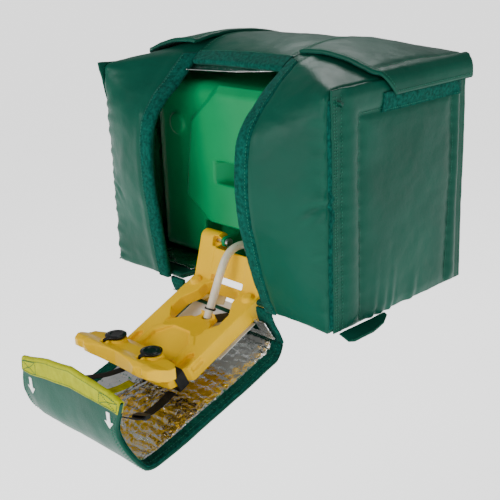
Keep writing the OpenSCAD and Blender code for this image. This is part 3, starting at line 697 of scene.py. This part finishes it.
def cover_linings():
    xs = np.linspace(-324, 324, 190)
    ys = np.linspace(36, 426, 110)
    X, Y = np.meshgrid(xs, ys)
    Y2 = Y + (notch(X, 44)) * np.clip(1 - (Y - 36) / 120, 0, 1)
    floor = lining("floor_foil", np.stack([X, Y2, np.full(X.shape, PAD + 1.0)], -1), [0, 0, 1], 81)
    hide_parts("floor_lining")
    # three walls as one sheet with round corners
    xi, yb, r = HALF_W - PAD - 3, DEPTH - PAD - 3, 18
    corner = np.radians(np.arange(0, 91, 10))
    plan = [(-xi, 38)] + [(-xi + r - r * math.cos(a), yb - r + r * math.sin(a)) for a in corner]
    plan += [(xi - r + r * math.sin(a), yb - r + r * math.cos(a)) for a in corner] + [(xi, 38)]
    plan = even(plan, 6.5)
    zs = np.linspace(17.5, 478, 84)
    t = np.gradient(plan, axis=0)
    n = np.stack([t[:, 1], -t[:, 0]], -1)
    n /= np.linalg.norm(n, axis=1, keepdims=True)
    grid = np.stack([np.column_stack([plan, np.full(len(plan), z)]) for z in zs])
    up_ = np.stack([np.column_stack([n, np.zeros(len(n))])] * len(zs))
    wall = lining("wall_foil", grid, up_, 83)
    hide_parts("wall_lining")
    xs = np.linspace(-OPEN_X - 120, OPEN_X + 120, 120)
    ys = np.linspace(86, 420, 80)
    X, Y = np.meshgrid(xs, ys)
    under = np.array([[top_height(x, y) for x in xs] for y in ys]) - PAD - 2
    top = lining("top_foil", np.stack([X, Y, under], -1), [0, 0, -1], 85)
    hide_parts("top_lining")


TOP_EDGE, TOP_LEFT = curve(EDGE_LINE[SHOULDER:], 8), curve(LEFT_LINE[SHOULDER:], 8)
TOP_CORNER = curve(CORNER_LINE[SHOULDER:], 8)


def top_height(x, y):
    """Height of the cover's outside at a place on its top."""
    s = np.clip((abs(x) - OPEN_X) / (CHEEK_X - 8 - OPEN_X), 0, 1)
    k = np.clip((x + OPEN_X) / (2 * OPEN_X), 0, 1)
    edge = k * TOP_EDGE + (1 - k) * TOP_LEFT
    line_y = edge[:, 0] * (1 - s) + TOP_CORNER[:, 0] * s
    line_z = edge[:, 1] * (1 - s**1.4) + TOP_CORNER[:, 1] * s**1.4
    rise = 7 * math.cos(math.pi * min(abs(x), OPEN_X) / (2 * OPEN_X)) * math.sin(
        math.pi * min(max((y - 60) / (DEPTH - 60), 0), 1))
    return float(np.interp(y, line_y, line_z)) + rise


cover_linings()


# ------------------------------------------------------------ cover: flaps
def top_flap(side, word):
    """Lies on the top and turns down over the side panel."""
    front = 118
    turned = [(352, 513), (361, 509), (368, 500), (371.5, 488), (372.5, 476), (373, 464)]
    xs = even([(x, 0) for x in (165, 172, 190, 220, 255, 290, 320, 340)], 6)[:, 0]
    rows = []
    ws = steps(1, 0.016, edge=0.02)
    for w in ws:
        line = []
        for x in xs:
            y = (front + 12 * (x - 165) / 175) * (1 - w) + 441 * w
            lift = 4 + 6 * np.clip((x - 200) / 140, 0, 1)
            line.append((x, y, top_height(x, y) + lift + PAD * 0.3))
        for x, z in turned:
            drop = (514 - z) / 50
            y = (133 + 42 * drop) * (1 - w) + (442 - 2 * drop) * w
            line.append((x, y, z))
        line = np.array(line)
        k = len(xs)
        fine = even(curve(line[k - 3:], 5), 3.0)
        rows.append((line[:k - 3], fine))
    m = min(len(f) for _, f in rows)
    g = []
    for head, fine in rows:
        run = run_along(fine)
        at = np.linspace(0, run[-1], m)
        g.append(np.vstack([head, np.stack([np.interp(at, run, fine[:, q]) for q in range(3)], -1)]))
    g = np.array(g)
    n = normals(g)
    n *= np.sign(n[20, 3, 2])
    seed = 90 if side > 0 else 95
    run_x = run_along(g[20])[None, :]
    run_y = (g[..., 1] - g[:1, :, 1])
    from_back = g[-1:, :, 1] - g[..., 1]
    seam = np.abs(g[..., 0] - 345 + 10 * np.sin(np.pi * ws)[:, None])
    puff = 3.5 * (1 - np.exp(-run_y / 14)) * (1 - np.exp(-np.clip(run_x - 6, 0, None) / 16))
    puff *= 1 - 0.55 * np.exp(-(seam / 7)**2)
    puff += 2.2 * np.exp(-((run_y - 5) / 4.5)**2)
    relief = puff + 1.6 * lumps(g, 90, seed) + 0.6 * lumps(g, 28, seed + 1)
    relief = np.where(g[..., 0] > 362, relief * 0.35 + 0.8, relief)
    relief += 3.0 * np.exp(-run_y / 22) * np.exp(-((g[..., 0] - 262) / 70)**2)
    out = g + n * relief[..., None]
    edge = np.minimum(np.minimum(run_x + 1.5, run_x[:, -1:] - run_x), np.minimum(run_y, from_back + 2))
    drop = rounding(edge, 4.0)[..., None]
    thick = 9 - 3 * np.clip((g[..., 0] - 350) / 15, 0, 1)[..., None]
    outer, inner = out - n * drop, out - n * (thick - drop)
    flip = np.array([side, 1, 1])
    flap = solid(word + "_top_flap_pad", outer * flip, inner * flip, [VINYL, TAPE],
                 body="top_flap_" + word[0])
    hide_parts(word + "_top_flap")
    threads = Threads(word + "_top_flap_stitching", "top_flap_" + word[0])
    for off in (4, 10):
        j = int(np.argmin(np.abs(run_x[0] - off)))
        threads.sew(outer[4:-4, j] * flip, n[4:-4, j] * flip, **FINE)
    i = int(np.argmin(np.abs(run_y[:, 5] - 11)))
    threads.sew(outer[i, 3:-4] * flip, n[i, 3:-4] * flip, **FINE)
    j = [int(np.argmin(seam[i])) for i in range(len(ws))]
    pick = np.arange(6, len(ws) - 5)
    threads.sew(np.array([outer[i, j[i]] for i in pick]) * flip,
                np.array([n[i, j[i]] for i in pick]) * flip, **FINE)
    threads.sew(outer[6:-4, -4] * flip, n[6:-4, -4] * flip, **FINE)
    threads.build()


def bottom_flap(side, word):
    """Small flap below the side panel."""
    ys = np.linspace(10, 160, 52)
    far = np.interp(ys, [8, 10, 24, 84, 128, 164], [4, 26, 33, 33, 24, 4])
    ws = steps(1, 0.07, edge=0.08)
    g = np.stack([np.column_stack([HALF_W + 3.5 + far * w * math.cos(math.radians(14)), ys,
                                   -0.5 - far * w * math.sin(math.radians(14))
                                   - 2.2 * w * w]) for w in ws], 1)
    n = normals(g)
    n *= np.sign(n[5, 5, 2])
    g = g + n * (1.0 * lumps(g, 30, 101))[..., None]
    edge = np.minimum(np.arange(len(ys))[:, None] * 2.9, (1 - ws)[None, :] * 30)
    edge = np.minimum(edge, (np.arange(len(ys))[::-1, None]) * 2.9)
    drop = rounding(edge, 2.0)[..., None]
    flip = np.array([side, 1, 1])
    flap = solid(word + "_bottom_flap_pad", (g + n * (2.2 - drop)) * flip,
                 (g - n * (2.2 - drop)) * flip, [VINYL, TAPE], body="bottom_flap_" + word[0])
    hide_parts(word + "_bottom_flap")
    threads = Threads(word + "_bottom_flap_stitching", "bottom_flap_" + word[0])
    for j in (-5, 3):
        threads.sew((g[2:-2, j] + n[2:-2, j] * 2.3) * flip, n[2:-2, j] * flip, pitch=6, length=4)
    threads.build()


for side, word in ((-1, "left"), (1, "right")):
    top_flap(side, word)
    bottom_flap(side, word)


# ------------------------------------------------------------ moulded pieces
def moulded(node, voxel, passes, mat, body):
    """The CAD piece again, with its edges rounded as a mould leaves them."""
    src = bpy.data.objects[node]
    obj = bpy.data.objects.new(node + "_moulded", src.data.copy())
    bpy.context.scene.collection.objects.link(obj)
    obj.data.transform(src.matrix_world)
    remesh = obj.modifiers.new("remesh", "REMESH")
    remesh.mode = "VOXEL"
    remesh.voxel_size = voxel / 1000
    relax = obj.modifiers.new("relax", "SMOOTH")
    relax.factor = 0.5
    relax.iterations = passes
    bpy.context.view_layer.update()
    done = obj.evaluated_get(bpy.context.evaluated_depsgraph_get())
    mesh = bpy.data.meshes.new_from_object(done)
    obj.modifiers.clear()
    obj.data = mesh
    mesh.materials.clear()
    mesh.materials.append(mat)
    mesh.polygons.foreach_set("use_smooth", np.full(len(mesh.polygons), True))
    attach(obj, body)
    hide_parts(node)
    return obj


moulded("tank_body", 3.2, 9, TANK, "cover")
moulded("tray_shell", 1.7, 5, TRAY, "tray")
moulded("spray_yoke", 1.7, 5, TRAY, "tray")
for word in ("left", "right"):
    moulded(word + "_dust_cap", 0.9, 4, RUBBER, "dust_cap_" + word[0])

for node, mat in (("cap_gasket", RUBBER), ("fill_cap", BLACK), ("outlet_fitting", BLACK),
                  ("hose_clamp", STEEL), ("pivot_pins", STEEL), ("hose_barb", BLACK),
                  ("cable_tie", BLACK), ("guide_card", CARD), ("strap_buckle", BLACK),
                  ("left_nozzle", RUBBER), ("right_nozzle", RUBBER), ("cap_pins", STEEL),
                  ("strap_sliders", BLACK), ("flap_root_lining", FOIL)):
    mesh = bpy.data.objects[node].data
    mesh.materials.clear()
    mesh.materials.append(mat)


# ------------------------------------------------------------ supply hose
def tube(name, line, radius, mat, sides=20):
    """Round tube along a line."""
    line = np.asarray(line, float)
    d = headings(line)
    s = np.cross([1.0, 0, 0], d)
    s /= np.linalg.norm(s, axis=1, keepdims=True)
    u = np.cross(d, s)
    a = np.linspace(0, 2 * np.pi, sides, endpoint=False)
    ring = line[:, None] + radius * (s[:, None] * np.cos(a)[:, None] + u[:, None] * np.sin(a)[:, None])
    verts = [tuple(p) for p in ring.reshape(-1, 3)]
    faces = []
    for i in range(len(line) - 1):
        for j in range(sides):
            k = (j + 1) % sides
            faces.append((i * sides + j, i * sides + k, (i + 1) * sides + k, (i + 1) * sides + j))
    faces.append(tuple(range(sides)))
    faces.append(tuple((len(line) - 1) * sides + j for j in reversed(range(sides))))
    return add(name, place(verts), faces, [mat], body=None)


HOSE_LINE = [(20, 146, 84), (20, 128, 86), (18, 100, 94), (16, 72, 100), (16, 46, 98),
             (16, 26, 87), (15, 12, 67), (12, 2, 42), (9, -7, 16), (5, -16, -12),
             (2.6, -24.6, -34), (2, -32.8, -53)]
hose_line = even(curve(HOSE_LINE, 8), 4)
hose = tube("supply_hose_tube", hose_line, 9.4, HOSE)
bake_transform(hose)
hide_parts("supply_hose")

# ------------------------------------------------------------ front flap
FLAP_T = 9
FOLD_Y, FOLD_Z = hinge("flap_fold")[1:]
FLAP_LINE = [(FOLD_Y - 1, FOLD_Z - 1), (35, -102), (18, -112), (-40, -130), (-110, -154),
             (-198, -180), (-280, -204), (-325, -216), (-352, -219), (-376, -210), (-396, -191),
             (-406, -164), (-409, -128), (-409, -94), (-409, -60)]
flap_line = even(curve(FLAP_LINE, 8), 4.5)
flap_run = run_along(flap_line)
FLAP_LEN = flap_run[-1]


def run_at(y):
    return float(np.interp(-y, -flap_line[:60, 0], flap_run[:60]))


LIP_BASE = FLAP_LEN - 105  # where the flap has turned up into its lip
CURL = LIP_BASE - 46


def flap_half(s, side):
    """Half width of the flap at a distance from the fold."""
    if side > 0:
        return np.interp(s, [0, 45, CURL - 26, CURL + 8, LIP_BASE - 8, LIP_BASE + 20, FLAP_LEN],
                         [168, 186, 187, 178, 158, 157, 184])
    return np.interp(s, [0, 45, CURL, LIP_BASE, FLAP_LEN], [168, 187, 190, 191, 175])


def flap_point(s, t, height=0.0):
    """Point of the flap: s along from the fold, t from -1 to 1 across, height towards the lining."""
    s, t, height = np.broadcast_arrays(np.asarray(s, float), np.asarray(t, float), height)
    y, z = np.interp(s, flap_run, flap_line[:, 0]), np.interp(s, flap_run, flap_line[:, 1])
    d = headings(flap_line)
    ty, tz = np.interp(s, flap_run, d[:, 0]), np.interp(s, flap_run, d[:, 1])
    half = np.where(t > 0, flap_half(s, 1), flap_half(s, -1))
    # the lining side is to the right of the line's run
    ny, nz = tz, -ty
    x = t * half
    foot = np.interp(s, [CURL - 20, LIP_BASE - 10, FLAP_LEN], [0, 1, 0])
    rim = np.interp(s, [LIP_BASE - 10, FLAP_LEN], [0, 1])
    lift = (foot * np.interp(x, [-177, -140, -62, 76, 172], [16, 2, 4, 22, 34])
            + rim * np.interp(x, [-175, -77, 11, 92, 145, 181], [-10, 12, 24, 20, 15, 6]))
    return np.stack([x, y + ny * height, z + nz * height + lift], -1)


def flap_sag(s, t):
    """Soft waves of the flap."""
    p = np.stack(np.broadcast_arrays(s * 1.0, t * 185.0, s * 0.0), -1)
    return 2.2 * lumps(p, 120, 111, 2) + 0.5 * lumps(p, 30, 112, 2)


def flap_patch(name, s_range, t_range, pitch, low, high, mat, extra=None, round_=1.2,
               rag=0.0):
    """A layer of the flap between two heights over a stretch of it."""
    ss = steps(s_range[1] - s_range[0], pitch, edge=min(7, pitch * 1.6)) + s_range[0]
    width = (t_range[1] - t_range[0]) * 185
    ts = steps(width, pitch, edge=min(7, pitch * 1.6)) / 185 + t_range[0]
    S, T = np.meshgrid(ss, ts, indexing="ij")
    edge = np.minimum(np.minimum(S - ss[0], ss[-1] - S), np.minimum(T - ts[0], ts[-1] - T) * 185)
    drop = rounding(edge, round_)
    sag = flap_sag(S, T)
    top = high - drop + sag
    if extra is not None:
        top = top + extra(S, T) * np.clip(edge / 4, 0, 1)
    bottom = low + drop + sag
    if rag:
        p = np.stack([S, T * 185, 0 * S], -1)
        T = T + rag / 185 * lumps(p, 7, 5, 2) * np.exp(-edge / 5) * np.sign(T)
        S = S + rag * lumps(p, 8, 6, 2) * np.exp(-np.minimum(S - ss[0], ss[-1] - S) / 5)
    obj = solid(name, flap_point(S, T, top), flap_point(S, T, bottom), [mat], body="flap")
    return obj


def quilt(s, t):
    p = np.stack(np.broadcast_arrays(s * 1.0, t * 185.0, s * 0.0), -1)
    channels = 1.6 * np.abs(np.sin(np.pi * s / 21 + 1.2 * lumps(p, 60, 120, 2)))
    return crinkle(p, 121) + channels


def front_flap():
    h = FLAP_T / 2
    pad = flap_patch("flap_pad", (0, FLAP_LEN), (-1, 1), 6, -h, h, VINYL, round_=h * 0.96)
    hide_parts("flap_panel", "flap_lip")
    # lining inside a border of soft tape
    foil = flap_patch("flap_foil", (3, FLAP_LEN - 42), (-0.82, 0.82), 2.6, h - 0.5, h + 0.8, FOIL,
                      extra=quilt)
    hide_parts("flap_lining", "lip_lining")
    for side, word in ((-1, "left"), (1, "right")):
        reach = (0.82, 0.992) if side > 0 else (-0.992, -0.82)
        tape = flap_patch(word + "_flap_tape", (2, FLAP_LEN - 42), reach, 3.2, h - 0.6, h + 2.6,
                          TAPE, rag=1.6,
                          extra=lambda s, t: 0.8 * lumps(np.stack([s, t * 185, 0 * s], -1), 6, 7, 2))
        if side > 0:
            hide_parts("flap_binding")
    # seam lines on the vinyl side
    threads = Threads("flap_stitching", "flap")
    ss = np.arange(8, FLAP_LEN - 44, 4.0)
    for t in (-0.955, 0.955, -0.9, 0.9):
        line = flap_point(ss, t, -h - 0.2 + flap_sag(ss, t + 0 * ss))
        ups = flap_point(ss, t, -h - 2) - flap_point(ss, t, -h)
        threads.sew(line, ups, pitch=7, length=4.6)
    for t in (-0.93, 0.93):
        line = flap_point(ss, t, h + 3.0 + flap_sag(ss, t + 0 * ss))
        ups = flap_point(ss, t, h + 2) - flap_point(ss, t, h)
        threads.sew(line, ups, pitch=7, length=4.6)
    return threads


flap_threads = front_flap()
WEB_W = 38
WEB_OUT = FLAP_T / 2 + 1.0


def pull_webbing():
    """Webbing folded over the lip's top edge, sewn on with a crossed box at each end."""
    h = WEB_OUT
    path = [(WEB_W, -h), (20, -h), (4, -h), (-1.5, -h * 0.75), (-3.2, 0), (-1.5, h * 0.75), (4, h),
            (20, h), (WEB_W, h)]
    path = even(curve([(a, b) for a, b in path], 6), 1.6)
    ts = np.linspace(-1.0, 1.0, 90)
    d = headings(path)
    n = np.stack([-d[:, 1], d[:, 0]], -1)

    def layer(off):
        out = []
        for (a, b), (na, nb) in zip(path, n):
            down, height = a + na * off, b + nb * off
            s = FLAP_LEN - down
            wave = 0.7 * np.sin(ts * 9) * np.clip(1 - abs(down) / 60, 0, 1)
            p = flap_point(np.full(ts.shape, min(s, FLAP_LEN)), ts * 0.985,
                           height + flap_sag(np.full(ts.shape, min(s, FLAP_LEN)), ts))
            p[:, 2] += max(0, s - FLAP_LEN) + wave
            out.append(p)
        return np.array(out)

    a, b = layer(-0.9), layer(0.9)
    web = solid("pull_webbing_band", a, b, [LEMON], body="flap")
    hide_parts("pull_webbing")
    outside = a if a[0, 40, 1] < b[0, 40, 1] else b
    face = np.array([0, -1.0, 0])
    threads = Threads("webbing_stitching", "flap")
    mid = len(path) // 2
    low, high = 2, int(mid * 0.72)
    for t0, t1 in ((1, 15), (74, 88)):
        ring = [(low, t0), (low, t1), (high, t1), (high, t0), (low, t0)]
        cross_ = [[(low, t0), (high, t1)], [(low, t1), (high, t0)]]
        for pts in [ring[i:i + 2] for i in range(4)] + cross_:
            (i0, j0), (i1, j1) = pts
            k = np.linspace(0, 1, 14)
            line = np.array([outside[int(round(i0 + (i1 - i0) * q)), int(round(j0 + (j1 - j0) * q))]
                             for q in k])
            threads.sew(line + face * 0.3, face, pitch=5, length=3.6, width=1.5)
    for row in (low, high + 1):
        threads.sew(outside[row, 2:-2] + face * 0.3, face, pitch=6, length=4.2, width=1.3)
    threads.build()


pull_webbing()


def arrows():
    """Plain down arrows near the lip's two ends, printed on its outside."""
    outline = [(-5, 26), (5, 26), (5, 2), (13, 2), (0, -15), (-13, 2), (-5, 2)]
    for word, x in (("left", -146), ("right", 138)):
        pts = np.array(outline, float)
        along = FLAP_LEN - 74 + pts[:, 1]
        half = flap_half(along, 1 if x > 0 else -1)
        across_ = (x + pts[:, 0]) / half
        sag = flap_sag(along, across_)
        verts = np.concatenate([flap_point(along, across_, sag - FLAP_T / 2 - out)
                                for out in (1.3, -0.4)])
        m = len(pts)
        faces = [tuple(range(m)), tuple(reversed(range(m, 2 * m)))]
        faces += [(i, (i + 1) % m, (i + 1) % m + m, i + m) for i in range(m)]
        obj = add(word + "_arrow", place(verts), faces, [WHITE_INK], body="flap",
                  smooth=False)
        if word == "left":
            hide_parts("lip_arrows")


arrows()
flap_threads.build()


def flap_root():
    """Short stretch that hangs from the cover's base to the fold, cut out for the tray."""
    line = even(curve([(8, -3), (9, -16), (17, -38), (32, -66), (FOLD_Y - 1, FOLD_Z)], 8), 4)
    d = headings(line)
    n = np.stack([d[:, 1], -d[:, 0]], -1)
    run = run_along(line)
    h = FLAP_T / 2 - 0.6
    for word, lo, hi, rows in (("left_root_pad", -168, -124, slice(0, None)),
                               ("right_root_pad", 124, 168, slice(0, None)),
                               ("middle_root_pad", -124, 124, slice(int(np.argmax(run > 46)), None))):
        xs = steps(hi - lo, 6) + lo
        l, m, r = line[rows], n[rows], run[rows]
        X = np.tile(xs, (len(l), 1))
        sag = 1.6 * lumps(np.stack([X, np.tile(r[:, None], (1, len(xs))), 0 * X], -1), 70, 131, 2)
        outer = np.stack([X, l[:, :1] + m[:, :1] * (h + sag), l[:, 1:] + m[:, 1:] * (h + sag)], -1)
        inner = outer - np.stack([0 * X, m[:, :1] * (2 * h + sag), m[:, 1:] * (2 * h + sag)], -1)
        mats = [VINYL] if word == "middle_root_pad" else [TAPE, VINYL]
        pad = solid(word, outer, inner, mats, body=None)
        if word == "middle_root_pad":
            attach(pad, "flap_root")
            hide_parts("flap_root_panel")
        else:
            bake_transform(pad)


flap_root()


# ------------------------------------------------------------ straps
def band(name, line, half, thick, mat, body, up_=(0, 0, 1)):
    """Flat strap along a line, with softly rounded edges."""
    line = np.asarray(line, float)
    d = headings(line)
    s = np.cross(d, np.asarray(up_, float))
    s = s / np.linalg.norm(s, axis=1, keepdims=True)
    u = np.cross(s, d)
    q = np.array([-1, -0.97, -0.85, -0.4, 0, 0.4, 0.85, 0.97, 1.0])
    t = thick / 2 * np.array([0.35, 0.8, 1, 1, 1, 1, 1, 0.8, 0.35])
    mid = line[:, None] + s[:, None] * (q * half)[None, :, None]
    lift = u[:, None] * t[None, :, None]
    return solid(name, mid + lift, mid - lift, [mat], body=body)


LINK_LINE = [(84, -214, -142), (100, -258, -146), (122, -310, -140), (146, -356, -122),
             (160, -396, -96)]
CENTRE_LINE = [(14, -264, -122), (10, -300, -126), (4, -340, -122), (0, -378, -108),
               (-2, -399, -96)]
for side, word in ((-1, "left"), (1, "right")):
    pts = even(curve(np.array(LINK_LINE) * [side, 1, 1], 8), 5)
    strap = band(word + "_link_webbing", pts, 11, 2.0, BLACK_WEB, "flap")
    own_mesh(strap)
    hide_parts(word + "_link_strap")
pts = even(curve(CENTRE_LINE, 8), 5)
strap = band("centre_link_webbing", pts, 12.5, 2.0, LEMON, "flap")
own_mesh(strap)
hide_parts("centre_link_strap")


# the tray's own frame: across, along the deck (negative to the front), above it
TRAY_TILT = math.radians(23.4)


def on_tray(points):
    p = np.asarray(points, float)
    x, s, n = p[..., 0], p[..., 1], p[..., 2]
    return np.stack([x, s * math.cos(TRAY_TILT) - n * math.sin(TRAY_TILT),
                     -4 + s * math.sin(TRAY_TILT) + n * math.cos(TRAY_TILT)], -1)


STRAP_AT = 228  # the strap's distance in front of the cover's front plane


def tray_strap():
    """Webbing around the tray's front end."""
    r = 6
    outline = []
    for cx, cn, a0 in ((100, -2.5, 0), (-100, -2.5, 90), (-100, -36, 180), (100, -36, 270)):
        for a in np.radians(np.arange(a0, a0 + 91, 15)):
            outline.append((cx + r * math.cos(a), cn + r * math.sin(a)))
    outline.append(outline[0])
    loop = even(outline, 4.0)[:-1]
    nxt, prv = np.roll(loop, -1, axis=0), np.roll(loop, 1, axis=0)
    d = nxt - prv
    d /= np.linalg.norm(d, axis=1, keepdims=True)
    n = np.stack([d[:, 1], -d[:, 0]], -1)
    ws = np.array([-13.5, -13, -11, -5, 0, 5, 11, 13, 13.5])
    t = 1.0 * np.array([0.35, 0.8, 1, 1, 1, 1, 1, 0.8, 0.35])
    grids = []
    for sign in (1, -1):
        off = loop[:, None] + n[:, None] * (sign * t)[None, :, None]
        along = np.tile(ws - STRAP_AT, (len(loop), 1))
        grids.append(on_tray(np.stack([off[..., 0], along, off[..., 1]], -1)))
    strap = solid("tray_strap_webbing", grids[0], grids[1], [BLACK_WEB], body="tray",
                  ring=True)
    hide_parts("tray_strap")


tray_strap()


def card_blocks():
    """Plain printed blocks on the guide card: corners as (x, distance along the tray)."""
    for name, mat, corners in (
            ("card_dark_bar", PRINT, [(-19, -21), (14, 0), (38, -16), (9, -38)]),
            ("card_tan_block", TAN, [(-82, -3), (-73, 35), (-34, 50), (-18, 16)])):
        verts = [(x, s, n) for n in (-53.8, -53.3) for x, s in corners]
        sides = [(i, (i + 1) % 4, (i + 1) % 4 + 4, i + 4) for i in range(4)]
        add(name, place(on_tray(verts)), [(0, 1, 2, 3), (7, 6, 5, 4)] + sides, [mat], body="tray",
            smooth=False)


card_blocks()

# ------------------------------------------------------------ light and floor
FLOOR_Z = cad_box[0][2] - 0.55
world = bpy.data.worlds.new("studio")
bpy.context.scene.world = world
world.use_nodes = True
sky = world.node_tree.nodes["Background"]
sky.inputs["Color"].default_value = (1.0, 1.0, 1.0, 1)
sky.inputs["Strength"].default_value = 0.32


def softbox(name, size, watts, at, to):
    data = bpy.data.lights.new(name, "AREA")
    data.size = size
    data.energy = watts
    obj = bpy.data.objects.new(name, data)
    bpy.context.scene.collection.objects.link(obj)
    at, to = Vector(at), Vector(to)
    obj.matrix_world = Matrix.Translation(at) @ (at - to).to_track_quat("Z", "Y").to_matrix().to_4x4()


softbox("key_light", 1.3, 50, (-0.9, -3.0, 1.5), (0, 0, 0.15))
softbox("fill_light", 1.2, 20, (0.5, -3.0, 0.5), (0, 0, 0.15))
softbox("side_light", 1.6, 20, (3.0, -0.9, 1.3), (0, 0, 0.2))
softbox("top_light", 1.2, 34, (-0.9, 1.3, 2.3), (0, 0, 0.4))
FLOOR = material("studio_paper", (0.9, 0.9, 0.9), rough=0.9, vary=0.01, vary_size=900,
                 bumps=(("noise", 3, 0.05),), specular=0.05)
paper = FLOOR.node_tree.nodes["Principled BSDF"]
paper.inputs["Emission Color"].default_value = (1, 1, 1, 1)
paper.inputs["Emission Strength"].default_value = 1.5
add("studio_floor", [(-60, -60, FLOOR_Z), (60, -60, FLOOR_Z), (60, 60, FLOOR_Z),
                              (-60, 60, FLOOR_Z)], [(0, 1, 2, 3)], [FLOOR], body=None)
cover_threads.build()
bpy.context.view_layer.update()
